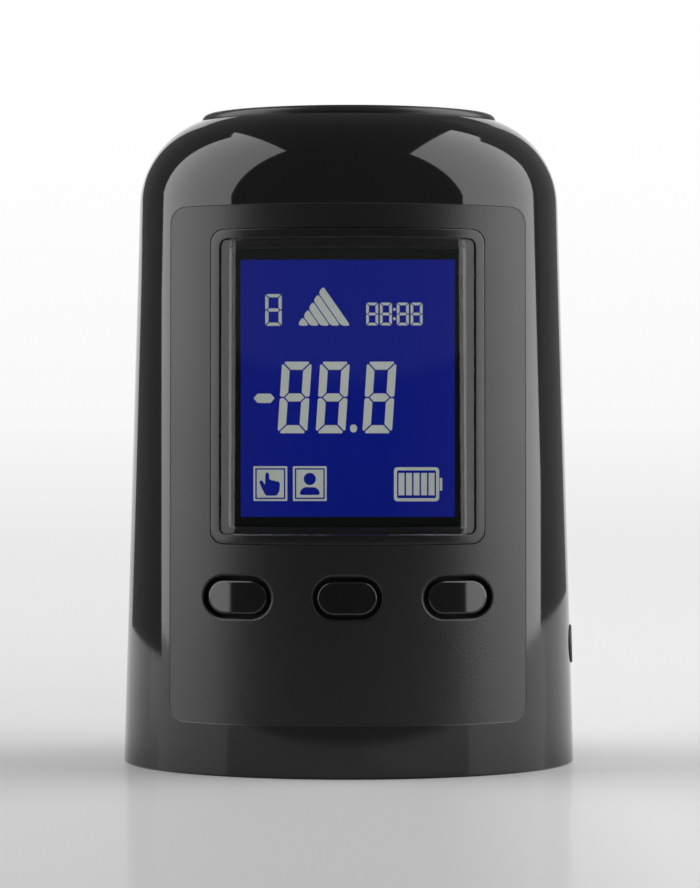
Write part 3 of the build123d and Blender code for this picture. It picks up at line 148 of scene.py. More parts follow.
class Graph:
    """A node tree that is filled by short calls."""

    MIX_COLOURS = (0, 6, 7)
    MIX_RESULT = 2

    def __init__(self, tree: bpy.types.NodeTree) -> None:
        """Wraps a shader or geometry node tree."""
        self.tree = tree

    def fill(self, node: bpy.types.Node, values: Values) -> None:
        """Fills a node's sockets.

        Args:
            node: The node.
            values: Numbers, colours, wires or outputs, by socket name or number.
        """
        for key, value in (values or {}).items():
            value = value.socket if isinstance(value, Wire) else value
            if isinstance(value, bpy.types.NodeSocket):
                self.tree.links.new(value, node.inputs[key])
            else:
                node.inputs[key].default_value = value

    def make(self, kind: str, settings: Settings = None, values: Values = None) -> bpy.types.Node:
        """Adds a node.

        Args:
            kind: The node's type.
            settings: Its properties, set first.
            values: What its sockets hold.

        Returns:
            The node.
        """
        node = self.tree.nodes.new(kind)
        for name, setting in (settings or {}).items():
            setattr(node, name, setting)
        self.fill(node, values)
        return node

    def wire(
        self, kind: str, settings: Settings = None, values: Values = None, output: Union[int, str] = 0
    ) -> Wire:
        """Adds a node as make() does and returns one of its outputs, by name or number."""
        return Wire(self, self.make(kind, settings, values).outputs[output])

    def math(self, operation: str, *values: Value) -> Wire:
        """Adds a Math node with the values in order."""
        return self.wire("ShaderNodeMath", {"operation": operation}, dict(enumerate(values)))

    def mix(self, factor: Value, first: object, second: object) -> Wire:
        """Mixes two colours.

        Args:
            factor: 0 for the first colour, 1 for the second.
            first: A colour or wire.
            second: A colour or wire.

        Returns:
            The mixed colour.
        """
        tints = [(*c, 1.0) if isinstance(c, tuple) else c for c in (first, second)]
        values = dict(zip(self.MIX_COLOURS, (factor, *tints)))
        return self.wire("ShaderNodeMix", {"data_type": "RGBA"}, values, self.MIX_RESULT)

    def place(self) -> Wire:
        """Returns the point's Object coordinates."""
        return self.wire("ShaderNodeTexCoord", output="Object")

    def split(self, vector: Wire) -> tuple[Wire, Wire, Wire]:
        """Returns the three parts of a vector."""
        node = self.make("ShaderNodeSeparateXYZ", values={0: vector})
        return tuple(Wire(self, socket) for socket in node.outputs)

    def noise(self, vector: Wire, scale: float, detail: float = 2.0, rough: float = 0.5) -> Wire:
        """Adds a noise texture, near 0.5, of as many cells per metre as its scale, with detail finer layers."""
        values = {"Vector": vector, "Scale": scale, "Detail": detail, "Roughness": rough}
        return self.wire("ShaderNodeTexNoise", values=values)

    def stretch(self, vector: Wire, scale: Sequence[float]) -> Wire:
        """Scales a vector along its axes."""
        return self.wire("ShaderNodeMapping", values={"Vector": vector, "Scale": tuple(scale)})

    def bump(self, height: Wire, distance: float) -> Wire:
        """Turns a height from 0 to 1 into a normal, where 1 is as deep as the distance in metres."""
        return self.wire("ShaderNodeBump", values={"Height": height, "Distance": distance, "Strength": 1.0})

    def glow(self, colour: object, strength: float = 1.0) -> bpy.types.NodeSocket:
        """Adds a shader that shines by itself."""
        return self.make("ShaderNodeEmission", values={"Color": colour, "Strength": strength}).outputs[0]

    def close(self, shader: bpy.types.NodeSocket) -> None:
        """Makes a shader the material's surface."""
        self.fill(self.tree.nodes[OUTPUT], {"Surface": shader})


def new_material(name: str) -> tuple[bpy.types.Material, Graph]:
    """Makes a material that uses nodes.

    Args:
        name: Its name.

    Returns:
        The material and its tree.
    """
    material = bpy.data.materials.new(name)
    material.use_nodes = True
    return material, Graph(material.node_tree)


# --- Finishes ---------------------------------------------------------------------------


class Grain(Enum):
    """What the small relief and colour changes of a finish follow."""

    CAST = "cast"
    BRUSHED = "brushed"
    TURNED = "turned"
    FIBRE = "fibre"
    WOUND = "wound"
    SPECKLED = "speckled"


@dataclass(frozen=True)
class Finish:
    """A surface finish with fine relief and slight changes of colour and gloss.

    Attributes:
        name: The material's name.
        colour: Its main colour.
        second: The colour it drifts towards.
        roughness: Mean roughness.
        spread: How far the roughness strays from the mean.
        scale: Grain cells per metre.
        depth: Depth of the relief in metres.
        grain: What the relief follows.
        metallic: 1 for bare metal.
        ior: Index of refraction.
        transmission: 1 for clear plastic.
        coat: Weight of a clear coat.
    """

    name: str
    colour: Colour
    second: Colour
    roughness: float
    spread: float
    scale: float
    depth: float
    grain: Grain = Grain.CAST
    metallic: float = 0.0
    ior: float = 1.5
    transmission: float = 0.0
    coat: float = 0.0

    BROAD = {"scale": 70.0, "detail": 4.0, "rough": 0.55}
    FINE = {"detail": 3.0, "rough": 0.6}
    BROAD_SHARE = 0.6
    HEIGHT_SHARE = 0.4
    SMOOTH_GRAINS = (Grain.CAST, Grain.BRUSHED, Grain.TURNED)
    STRETCHES = {
        Grain.CAST: (1.0, 1.0, 1.0),
        Grain.SPECKLED: (1.0, 1.0, 1.0),
        Grain.BRUSHED: (0.05, 1.0, 1.0),
        Grain.TURNED: (0.08, 0.08, 1.0),
        Grain.FIBRE: (1.0, 1.0, 0.2),
        Grain.WOUND: (0.1, 0.1, 1.0),
    }

    def relief(self, graph: Graph, place: Wire) -> Wire:
        """Makes the grain's height.

        Args:
            graph: The material's tree.
            place: Object coordinates.

        Returns:
            A height from 0 to 1.
        """
        along = graph.stretch(place, self.STRETCHES[self.grain])
        fine = graph.noise(along, self.scale, **self.FINE)
        if self.grain in self.SMOOTH_GRAINS:
            return fine
        values = {"Vector": along, "Scale": self.scale}
        cells = graph.wire("ShaderNodeTexVoronoi", {"feature": "F1"}, values, "Distance")
        return 0.5 * fine + 0.5 * cells

    def build(self) -> bpy.types.Material:
        """Makes the material, or returns it if it was made before.

        Returns:
            The material.
        """
        title = f"{self.name}_finish"
        known = bpy.data.materials.get(title)
        if known:
            return known
        material, graph = new_material(title)
        self.wire_up(graph, graph.tree.nodes[SHADER])
        return material

    def wire_up(self, graph: Graph, shader: bpy.types.Node) -> None:
        """Fills the shader's sockets.

        Args:
            graph: The material's tree.
            shader: Its Principled shader.
        """
        place = graph.place()
        broad = graph.noise(place, **self.BROAD)
        height = self.relief(graph, place)
        tint = graph.mix(self.BROAD_SHARE * broad + self.HEIGHT_SHARE * height, self.colour, self.second)
        graph.fill(shader, {
            "Base Color": tint,
            "Roughness": self.roughness + self.spread * (broad + height - 1.0),
            "Normal": graph.bump(height, self.depth),
            "Metallic": self.metallic,
            "IOR": self.ior,
            "Transmission Weight": self.transmission,
            "Coat Weight": self.coat,
        })


@dataclass(frozen=True)
class ScreenFinish(Finish):
    """Lit display glass: a blue field inside a dark border.

    Attributes:
        half_width: Half the width of the lit field, in metres.
        low: The field's lower edge.
        high: The field's upper edge.
        blue: Colour of the field.
        edge_tint: Colour towards the sides of the field.
        glow: Strength of the field's own light.
    """

    half_width: float = 0.01632
    low: float = 0.03952
    high: float = 0.07925
    blue: Colour = (0.0, 0.0045, 0.134)
    edge_tint: Colour = (0.006, 0.009, 0.155)
    glow: float = 1.0

    SOFT_EDGE = 0.00006
    STREAKS = {"scale": 260.0, "detail": 1.0}
    STREAK_STRETCH = (1.0, 1.0, 0.04)
    STREAK_MIDDLE = 0.35
    STREAK_TINT = 0.5
    SIDE_POWER = 3.0
    SIDE_TINT = 0.55

    def wire_up(self, graph: Graph, shader: bpy.types.Node) -> None:
        """Fills the shader's sockets.

        Args:
            graph: The material's tree.
            shader: Its Principled shader.
        """
        super().wire_up(graph, shader)
        place = graph.place()
        across, _, up = graph.split(place)
        side = (self.half_width - across.math("ABSOLUTE")) / self.SOFT_EDGE
        lower = (up - self.low) / self.SOFT_EDGE
        upper = (self.high - up) / self.SOFT_EDGE
        mask = side.math("MINIMUM", lower).math("MINIMUM", upper).clamp()
        streaks = graph.noise(graph.stretch(place, self.STREAK_STRETCH), **self.STREAKS)
        sideways = (across.math("ABSOLUTE") / self.half_width).math("POWER", self.SIDE_POWER)
        drift = self.SIDE_TINT * sideways + self.STREAK_TINT * (streaks - self.STREAK_MIDDLE)
        lit = graph.mix(drift, self.blue, self.edge_tint)
        graph.fill(shader, {
            "Emission Color": graph.mix(mask, (0.0, 0.0, 0.0), lit),
            "Base Color": graph.mix(mask, self.colour, self.blue),
            "Emission Strength": self.glow,
        })


@dataclass(frozen=True)
class SymbolFinish(Finish):
    """Pale display segment that glows a little.

    Attributes:
        glow: Strength of its own light.
    """

    glow: float = 0.6

    PATCHES = {"scale": 500.0, "detail": 3.0}

    def wire_up(self, graph: Graph, shader: bpy.types.Node) -> None:
        """Fills the shader's sockets.

        Args:
            graph: The material's tree.
            shader: Its Principled shader.
        """
        super().wire_up(graph, shader)
        light = graph.mix(graph.noise(graph.place(), **self.PATCHES), self.colour, self.second)
        graph.fill(shader, {"Emission Color": light, "Emission Strength": self.glow})


GLOSS = Finish("gloss_black", (0.0045, 0.0045, 0.005), (0.0065, 0.0065, 0.007), 0.055, 0.03, 1500.0, 0.0000006)
PANEL = Finish(
    "satin_panel", (0.0035, 0.0035, 0.0038), (0.006, 0.006, 0.0063), 0.37, 0.08, 3600.0, 0.000022, Grain.SPECKLED
)
FRAME = Finish("frame_black", (0.0045, 0.0045, 0.005), (0.0065, 0.0065, 0.007), 0.26, 0.06, 1800.0, 0.000002)
MATT = Finish("matt_black", (0.003, 0.003, 0.0032), (0.005, 0.005, 0.0052), 0.75, 0.1, 2200.0, 0.00002, Grain.SPECKLED)
CAP = Finish("cap_black", (0.016, 0.016, 0.0165), (0.021, 0.021, 0.0215), 0.3, 0.05, 1500.0, 0.000001)
CLEAR = Finish(
    "clear_window", (0.93, 0.95, 0.94), (0.97, 0.98, 0.97), 0.03, 0.02, 1200.0, 0.0000004, ior=1.41, transmission=1.0
)
BUTTON = Finish("button_black", (0.0075, 0.0075, 0.008), (0.01, 0.01, 0.0105), 0.075, 0.04, 1600.0, 0.000001)
RUBBER = Finish("black_rubber", (0.012, 0.012, 0.012), (0.02, 0.02, 0.019), 0.55, 0.12, 2400.0, 0.00003, Grain.SPECKLED)
SCREEN = ScreenFinish(
    "display_glass", (0.009, 0.0125, 0.0105), (0.013, 0.016, 0.0145), 0.2, 0.05, 1400.0, 0.000001, ior=1.25
)
SYMBOL = SymbolFinish("display_segments", (0.36, 0.39, 0.36), (0.43, 0.45, 0.42), 0.6, 0.1, 2000.0, 0.000002)

SLOT_FINISHES = {
    "gloss_black_shell": GLOSS,
    "satin_black_frame": Finish(
        "satin_black", (0.016, 0.016, 0.017), (0.026, 0.026, 0.027), 0.42, 0.1, 2600.0, 0.00004, Grain.SPECKLED
    ),
    "clear_window": CLEAR,
    "button_black": BUTTON,
    "black_rubber": RUBBER,
    "display_glass": SCREEN,
} | {
    finish.name: finish
    for finish in (
        Finish("screw_steel", (0.46, 0.46, 0.48), (0.62, 0.62, 0.63), 0.3, 0.12, 3200.0, 0.00002, Grain.TURNED, 1.0),
        Finish("socket_grey", (0.055, 0.056, 0.06), (0.08, 0.08, 0.085), 0.4, 0.1, 2200.0, 0.00003, Grain.SPECKLED),
        Finish("soft_silicone", (0.62, 0.63, 0.62), (0.74, 0.75, 0.74), 0.45, 0.1, 1300.0, 0.00003, transmission=0.2),
        Finish("filter_felt", (0.7, 0.7, 0.67), (0.86, 0.86, 0.83), 0.9, 0.1, 5200.0, 0.00012, Grain.FIBRE),
        Finish(
            "chassis_plastic", (0.085, 0.086, 0.09), (0.13, 0.13, 0.135), 0.5, 0.12, 1900.0, 0.00004, Grain.SPECKLED
        ),
        Finish("diffuser_white", (0.78, 0.8, 0.83), (0.88, 0.89, 0.9), 0.55, 0.08, 1100.0, 0.00002),
        Finish(
            "circuit_board", (0.012, 0.1, 0.035), (0.03, 0.2, 0.07),
            0.35, 0.12, 900.0, 0.00003, Grain.SPECKLED, coat=0.5,
        ),
        Finish("chip_black", (0.018, 0.018, 0.019), (0.032, 0.032, 0.033), 0.5, 0.1, 3200.0, 0.00002, Grain.SPECKLED),
        Finish("switch_cream", (0.68, 0.65, 0.55), (0.78, 0.75, 0.66), 0.42, 0.08, 1500.0, 0.00002),
        Finish("nickel_plate", (0.55, 0.53, 0.48), (0.72, 0.7, 0.65), 0.26, 0.1, 2400.0, 0.00001, Grain.BRUSHED, 1.0),
        Finish("battery_wrap", (0.02, 0.12, 0.4), (0.035, 0.17, 0.5), 0.2, 0.1, 420.0, 0.00006, coat=0.4),
        Finish("pump_plastic", (0.62, 0.62, 0.58), (0.72, 0.72, 0.68), 0.45, 0.1, 1300.0, 0.00003),
        Finish("motor_steel", (0.42, 0.42, 0.43), (0.6, 0.6, 0.62), 0.34, 0.12, 1800.0, 0.00002, Grain.TURNED, 1.0),
        Finish("magnet_dark", (0.05, 0.05, 0.055), (0.1, 0.1, 0.105), 0.6, 0.12, 2600.0, 0.00004, Grain.SPECKLED, 0.3),
        Finish("winding_copper", (0.5, 0.19, 0.07), (0.72, 0.34, 0.15), 0.33, 0.1, 4200.0, 0.0001, Grain.WOUND, 0.9),
        Finish("bushing_brass", (0.55, 0.37, 0.12), (0.7, 0.5, 0.2), 0.3, 0.1, 2200.0, 0.00002, Grain.TURNED, 1.0),
        Finish("wire_red", (0.4, 0.012, 0.012), (0.52, 0.025, 0.02), 0.4, 0.08, 1500.0, 0.00002),
        Finish("wire_black", (0.015, 0.015, 0.015), (0.025, 0.025, 0.025), 0.42, 0.08, 1500.0, 0.00002),
    )
}


# --- Shapes -----------------------------------------------------------------------------


@dataclass(frozen=True)
class BodyForm:
    """The tapered round body's outer surface, in millimetres; its front faces -Y.

    Attributes:
        base_radius: Radius at the foot.
        draft: Taper of the side, in degrees.
        shoulder: Radius of the rounded top edge.
        shoulder_z: Height of the shoulder's centre.
    """

    base_radius: float = 36.0
    draft: float = 1.64
    shoulder: float = 14.5
    shoulder_z: float = 88.5

    @property
    def lean(self) -> float:
        """Taper in radians."""
        return math.radians(self.draft)

    @property
    def tangent_z(self) -> float:
        """Height where the side meets the shoulder."""
        return self.shoulder_z + self.shoulder * math.sin(self.lean)

    @property
    def shoulder_r(self) -> float:
        """Distance of the shoulder's centre from the axis."""
        return self.radius(self.tangent_z) - self.shoulder * math.cos(self.lean)

    def radius(self, z: float) -> float:
        """Radius of the side at the height z."""
        return self.base_radius - z * math.tan(self.lean)

    def reach(self, offset: float, z: float, inset: float) -> float:
        """Distance of the surface from the plane through the axis, at an offset along that plane."""
        radius = self.radius(z) - inset
        return math.sqrt(max(radius * radius - offset * offset, 0.0))

    def around(self, angle: float, z: float, inset: float = 0.0) -> Vector:
        """Point at an angle from the front towards +X, and height z, inset behind the surface."""
        radius = self.radius(z) - inset
        return Vector((radius * math.sin(angle), -radius * math.cos(angle), z))

    def front(self, inset: float = 0.0) -> Place:
        """Returns what lays flat points on the front, inset behind the surface."""
        return lambda x, z: Vector((x, -self.reach(x, z, inset), z))

    def side(self, inset: float = 0.0) -> Place:
        """Returns what lays flat points on the +X side, inset behind the surface."""
        return lambda y, z: Vector((self.reach(y, z, inset), y, z))

    def angle(self, point: Vector) -> float:
        """Angle of a point from the front towards +X."""
        return math.atan2(point.x, -point.y)

    def normal(self, point: Vector) -> Vector:
        """Finds the outward normal of the side or shoulder.

        Args:
            point: A point of the surface.

        Returns:
            The normal, of length 1.
        """
        radial = Vector((point.x, point.y, 0.0))
        if point.z <= self.tangent_z:
            return radial.normalized() * math.cos(self.lean) + Vector((0.0, 0.0, math.sin(self.lean)))
        out = radial.length - self.shoulder_r
        return (radial.normalized() * out + Vector((0.0, 0.0, point.z - self.shoulder_z))).normalized()


BODY = BodyForm()


@dataclass(frozen=True)
class Outline:
    """A rounded rectangle, in millimetres; a slot where the corner is half its height.

    Attributes:
        x: Centre across.
        z: Centre in height.
        half_width: Half its width.
        half_height: Half its height.
        corner: Corner radius.
        step: Greatest distance between points on its straight sides.
        turn: Points on each corner.
    """

    x: float
    z: float
    half_width: float
    half_height: float
    corner: float
    step: float = 0.9
    turn: int = 8

    LEAST_CORNER = 0.01
    SAME_POINT = 0.02

    def inset(self, by: float, corner: float) -> "Outline":
        """Returns the outline moved inwards on every side, with the corner radius that is given."""
        return replace(self, half_width=self.half_width - by, half_height=self.half_height - by, corner=corner)

    def loop(self, grow: float = 0.0) -> Section:
        """Points round the outline moved outwards.

        Args:
            grow: How far it is moved; the number of points doesn't depend on it.

        Returns:
            Points counter-clockwise, as (across, height).
        """
        corner = max(self.corner + grow, self.LEAST_CORNER)
        wide = self.half_width + grow - corner
        tall = self.half_height + grow - corner
        across = max(1, math.ceil(2 * (self.half_width - self.corner) / self.step))
        up = max(1, math.ceil(2 * (self.half_height - self.corner) / self.step))
        points: Section = []
        corners = (
            (wide, -tall, -90.0, up), (wide, tall, 0.0, across), (-wide, tall, 90.0, up), (-wide, -tall, 180.0, across),
        )
        for index, (cx, cz, start, steps) in enumerate(corners):
            for turn in range(self.turn + 1):
                angle = math.radians(start + 90.0 * turn / self.turn)
                points.append((cx + corner * math.cos(angle), cz + corner * math.sin(angle)))
            nx, nz, next_start, _ = corners[(index + 1) % len(corners)]
            ahead = math.radians(next_start)
            end = (nx + corner * math.cos(ahead), nz + corner * math.sin(ahead))
            begin = points[-1]
            if math.hypot(end[0] - begin[0], end[1] - begin[1]) < self.SAME_POINT:
                points.pop()
                continue
            for part in range(1, steps):
                share = part / steps
                points.append((begin[0] + share * (end[0] - begin[0]), begin[1] + share * (end[1] - begin[1])))
        return [(self.x + a, self.z + b) for a, b in points]


def rectangle(half_width: float, low: float, high: float, corner: float, step: float = 0.9) -> Outline:
    """Rounded rectangle on the front, centred across, between two heights."""
    return Outline(0.0, (low + high) / 2, half_width, (high - low) / 2, corner, step)


def slot(x: float, z: float, half_width: float, half_height: float, step: float, turn: int) -> Outline:
    """Outline with round ends, whose corner is a hair less than half its height."""
    return Outline(x, z, half_width, half_height, half_height - HAIR, step, turn)


def circle(x: float, y: float, radius: float, count: int) -> Section:
    """Points evenly round a circle."""
    turns = [FULL_TURN * i / count for i in range(count)]
    return [(x + radius * math.cos(t), y + radius * math.sin(t)) for t in turns]


def quarter(steps: int) -> Section:
    """Returns 1 - sin and 1 - cos over a quarter turn, the way round an edge of radius 1."""
    turns = [math.radians(90.0 * i / steps) for i in range(steps + 1)]
    return [(1 - math.sin(t), 1 - math.cos(t)) for t in turns]


def plane(axis: str, at: float) -> Place:
    """Returns what lays flat points on the plane where the axis X, Y or Z has one value."""
    index = "XYZ".index(axis)
    return lambda a, b: Vector((*(a, b)[:index], at, *(a, b)[index:]))


def inside(points: np.ndarray, loops: Sequence[np.ndarray]) -> np.ndarray:
    """Tells which points lie inside a region bounded by loops; inner loops are its holes.

    Args:
        points: N by 2.
        loops: Closed polygons, each M by 2.

    Returns:
        N truth values.
    """
    odd = np.zeros(len(points), bool)
    px, py = points[:, 0], points[:, 1]
    for loop in loops:
        for (ax, ay), (bx, by) in zip(loop, np.roll(loop, -1, axis=0)):
            if ay == by:
                continue
            crosses = (ay > py) != (by > py)
            odd ^= crosses & (px < (bx - ax) * (py - ay) / (by - ay) + ax)
    return odd


class Skin:
    """Points and faces of one piece, in millimetres, turned into a mesh at the end."""

    TOUCH = 1e-7
    ROOM = 0.5

    def __init__(self) -> None:
        """Starts an empty skin."""
        self.points: list[Vector] = []
        self.faces: list[tuple[int, ...]] = []
        self.coats: list[int] = []
        self.exact: list[bool] = []

    def ring(self, points: Sequence[Vector]) -> Ring:
        """Adds points and returns their numbers."""
        self.points.extend(points)
        return list(range(len(self.points) - len(points), len(self.points)))

    def trace(self, outline: Outline, place: Place, grow: float = 0.0) -> Ring:
        """Adds an outline's points, moved outwards and laid on a surface."""
        return self.ring([place(a, b) for a, b in outline.loop(grow)])

    def face(self, corners: Sequence[int], coat: int = 0, exact: bool = False) -> None:
        """Adds a face, leaving out corners that repeat.

        Args:
            corners: Numbers of its points in order.
            coat: Its finish.
            exact: Whether it takes the body's own normals.
        """
        kept = [c for i, c in enumerate(corners) if c != corners[i - 1]]
        if len(set(kept)) > 2:
            self.faces.append(tuple(kept))
            self.coats.append(coat)
            self.exact.append(exact)

    def strip(self, first: Ring, second: Ring, coat: int = 0, exact: bool = False) -> None:
        """Joins two closed rings of as many points."""
        for corners in zip(first, first[1:] + first[:1], second[1:] + second[:1], second):
            self.face(corners, coat, exact)

    def loft(self, rings: Sequence[Ring], coat: int = 0, exact: bool = False) -> None:
        """Joins rings one after another."""
        for first, second in zip(rings, rings[1:]):
            self.strip(first, second, coat, exact)

    def fan(self, ring: Ring, centre: Vector) -> None:
        """Closes a ring with triangles to a centre."""
        self.strip(ring, self.ring([centre]) * len(ring))

    def fill(
        self,
        borders: Sequence[tuple[Section, Ring]],
        place: Place,
        step: float,
        coat: int = 0,
        exact: bool = False,
    ) -> None:
        """Fills the flat region between borders and lays it on a surface.

        Args:
            borders: The outer border and those of holes, each as flat points and their numbers.
            place: Gives the point in space of a flat point.
            step: Distance between the inner points.
            coat: The faces' finish.
            exact: Whether the faces take the body's own normals.
        """
        flat = [point for loop, _ in borders for point in loop]
        ids = [number for _, ring in borders for number in ring]
        edges = []
        start = 0
        for loop, _ in borders:
            count = len(loop)
            edges += [(start + i, start + (i + 1) % count) for i in range(count)]
            start += count
        loops = [np.array(loop) for loop, _ in borders]
        low, high = loops[0].min(0), loops[0].max(0)
        axes = [np.arange(a + step / 2, b, step) for a, b in zip(low, high)]
        grid = np.stack(np.meshgrid(*axes, indexing="ij"), -1).reshape(-1, 2)
        if len(grid):
            grid = grid[inside(grid, loops)]
            known = np.array(flat)
            near = np.full(len(grid), np.inf)
            for point in known:
                near = np.minimum(near, ((grid - point) ** 2).sum(1))
            grid = grid[near > (self.ROOM * step) ** 2]
        every = [Vector(p) for p in flat] + [Vector((float(a), float(b))) for a, b in grid]
        points, _, faces, origins, _, _ = delaunay_2d_cdt(every, edges, [], 0, self.TOUCH)
        numbers: list[int] = []
        for point, origin in zip(points, origins):
            if origin and origin[0] < len(ids):
                numbers.append(ids[origin[0]])
            else:
                numbers.append(self.ring([place(point.x, point.y)])[0])
        middles = np.array([sum((points[i] for i in f), Vector((0.0, 0.0))) / len(f) for f in faces])
        for kept, corners in zip(inside(middles, loops), faces):
            if kept:
                self.face([numbers[i] for i in corners], coat, exact)

    def build(self, name: str, finishes: Sequence[Finish]) -> bpy.types.Object:
        """Makes the piece.

        Args:
            name: The object's name.
            finishes: One for each coat number.

        Returns:
            The object, in metres.
        """
        mesh = bpy.data.meshes.new(name)
        mesh.from_pydata([p * MM for p in self.points], [], self.faces)
        for finish in finishes:
            mesh.materials.append(finish.build())
        mesh.polygons.foreach_set("material_index", self.coats)
        smooth(mesh)
        if any(self.exact):
            normals = [Vector((0.0, 0.0, 0.0))] * len(mesh.loops)
            for polygon, exact in zip(mesh.polygons, self.exact):
                if exact:
                    for loop in polygon.loop_indices:
                        normals[loop] = BODY.normal(self.points[mesh.loops[loop].vertex_index])
            mesh.normals_split_custom_set(normals)
        mesh.update()
        return add_object(name, mesh)


def add_object(name: str, mesh: bpy.types.Mesh) -> bpy.types.Object:
    """Puts a mesh in the scene as an object at the origin.

    Args:
        name: The object's name.
        mesh: Its mesh.

    Returns:
        The object.
    """
    obj = bpy.data.objects.new(name, mesh)
    bpy.context.scene.collection.objects.link(obj)
    return obj


@contextmanager
def editing(mesh: bpy.types.Mesh) -> Iterator[bmesh.types.BMesh]:
    """Opens a mesh for editing and writes it back at the end.

    Args:
        mesh: The mesh.

    Yields:
        What is edited.
    """
    sheet = bmesh.new()
    sheet.from_mesh(mesh)
    yield sheet
    sheet.to_mesh(mesh)
    sheet.free()


def smooth(mesh: bpy.types.Mesh, merge: bool = False) -> None:
    """Turns faces outwards and sets smooth shading with sharp edges.

    Args:
        mesh: The mesh.
        merge: Whether doubles are merged first.
    """
    with editing(mesh) as sheet:
        if merge:
            bmesh.ops.remove_doubles(sheet, verts=sheet.verts, dist=MESH_WELD)
        bmesh.ops.recalc_face_normals(sheet, faces=sheet.faces)
    mesh.shade_smooth()
    mesh.set_sharp_from_angle(angle=SHARP_ANGLE)


# --- Geometry node trees ----------------------------------------------------------------


class Recipe:
    """A geometry node tree that is run on an object and leaves a plain mesh.

    Subclasses name their inputs and add their nodes in grow().
    """

    NAME = "Recipe"
    INPUTS: Mapping[str, type] = {}
    SOCKETS = {float: "NodeSocketFloat", int: "NodeSocketInt", bpy.types.Material: "NodeSocketMaterial"}

    def __init__(self) -> None:
        """Builds the tree with its named inputs."""
        tree = bpy.data.node_groups.new(self.NAME, "GeometryNodeTree")
        face = tree.interface
        face.new_socket("Geometry", in_out="INPUT", socket_type="NodeSocketGeometry")
        self.keys = {
            name: face.new_socket(name, in_out="INPUT", socket_type=self.SOCKETS[kind]).identifier
            for name, kind in {**self.INPUTS, "Finish": bpy.types.Material}.items()
        }
        face.new_socket("Geometry", in_out="OUTPUT", socket_type="NodeSocketGeometry")
        self.graph = Graph(tree)
        source = self.graph.make("NodeGroupInput")
        self.inputs = {name: Wire(self.graph, source.outputs[name]) for name in self.keys}
        self.geometry = Wire(self.graph, source.outputs["Geometry"])
        real = self.graph.wire("GeometryNodeRealizeInstances", values={0: self.grow()})
        values = {"Geometry": real, "Material": self.inputs["Finish"]}
        dressed = self.graph.wire("GeometryNodeSetMaterial", values=values)
        self.graph.make("NodeGroupOutput", values={"Geometry": dressed})
        self.tree = tree

    def grow(self) -> Wire:
        """Adds the recipe's own nodes to the object's mesh and returns what comes out."""
        raise NotImplementedError

    def run(self, obj: bpy.types.Object, finish: Finish, **values: object) -> bpy.types.Object:
        """Runs the tree on an object and replaces its mesh with the result.

        Args:
            obj: The object whose mesh goes in.
            finish: What the result is made of.
            values: The inputs by name, with _ for a space.

        Returns:
            The same object, with no modifier.
        """
        modifier = obj.modifiers.new(self.NAME, "NODES")
        modifier.node_group = self.tree
        for name, value in values.items():
            modifier[self.keys[name.replace("_", " ")]] = value
        modifier[self.keys["Finish"]] = finish.build()
        depsgraph = bpy.context.evaluated_depsgraph_get()
        mesh = bpy.data.meshes.new_from_object(obj.evaluated_get(depsgraph), depsgraph=depsgraph)
        obj.modifiers.remove(modifier)
        old = obj.data
        obj.data = mesh
        bpy.data.meshes.remove(old)
        mesh.name = obj.name
        return obj


class Revolve(Recipe):
    """Turns a profile, drawn as radius and height in the XY plane, round the Z axis."""

    NAME = "Revolve"
    INPUTS = {"Path Radius": float, "Segments": int}

    def grow(self) -> Wire:
        """Sweeps the profile along a circle and closes the pole.

        Returns:
            The turned shape.
        """
        graph, inputs = self.graph, self.inputs
        profile = graph.wire("GeometryNodeMeshToCurve", values={0: self.geometry})
        values = {"Resolution": inputs["Segments"], "Radius": inputs["Path Radius"]}
        path = graph.wire("GeometryNodeCurvePrimitiveCircle", {"mode": "RADIUS"}, values)
        swept = graph.wire("GeometryNodeCurveToMesh", values={"Curve": path, "Profile Curve": profile})
        return graph.wire("GeometryNodeMergeByDistance", values={"Geometry": swept, "Distance": TREE_WELD})


class RaisedRow(Recipe):
    """Repeats flat shapes along X and gives them a thickness."""

    NAME = "Raised Row"
    INPUTS = {"Count": int, "Pitch": float, "Slant": float, "Thickness": float}

    def grow(self) -> Wire:
        """Instances the shapes on a line, leans them, then extrudes and closes them.

        Returns:
            The raised shapes.
        """
        graph, inputs = self.graph, self.inputs
        step = graph.wire("ShaderNodeCombineXYZ", values={"X": inputs["Pitch"]})
        line = graph.wire("GeometryNodeMeshLine", {"mode": "OFFSET"}, {"Count": inputs["Count"], "Offset": step})
        copies = graph.wire("GeometryNodeInstanceOnPoints", values={"Points": line, "Instance": self.geometry})
        flat = graph.wire("GeometryNodeRealizeInstances", values={0: copies})
        _, height, _ = graph.split(graph.wire("GeometryNodeInputPosition"))
        lean = graph.wire("ShaderNodeCombineXYZ", values={"X": height * inputs["Slant"]})
        leant = graph.wire("GeometryNodeSetPosition", values={"Geometry": flat, "Offset": lean})
        rise = graph.wire("ShaderNodeCombineXYZ", values={"Z": 1.0})
        raised = graph.wire(
            "GeometryNodeExtrudeMesh",
            {"mode": "FACES"},
            {"Mesh": leant, "Offset": rise, "Offset Scale": inputs["Thickness"], "Individual": False},
        )
        floor = graph.wire("GeometryNodeFlipFaces", values={0: leant})
        join = graph.make("GeometryNodeJoinGeometry")
        for part in (floor, raised):
            graph.fill(join, {0: part})
        return graph.wire("GeometryNodeMergeByDistance", values={"Geometry": join.outputs[0], "Distance": TREE_WELD})


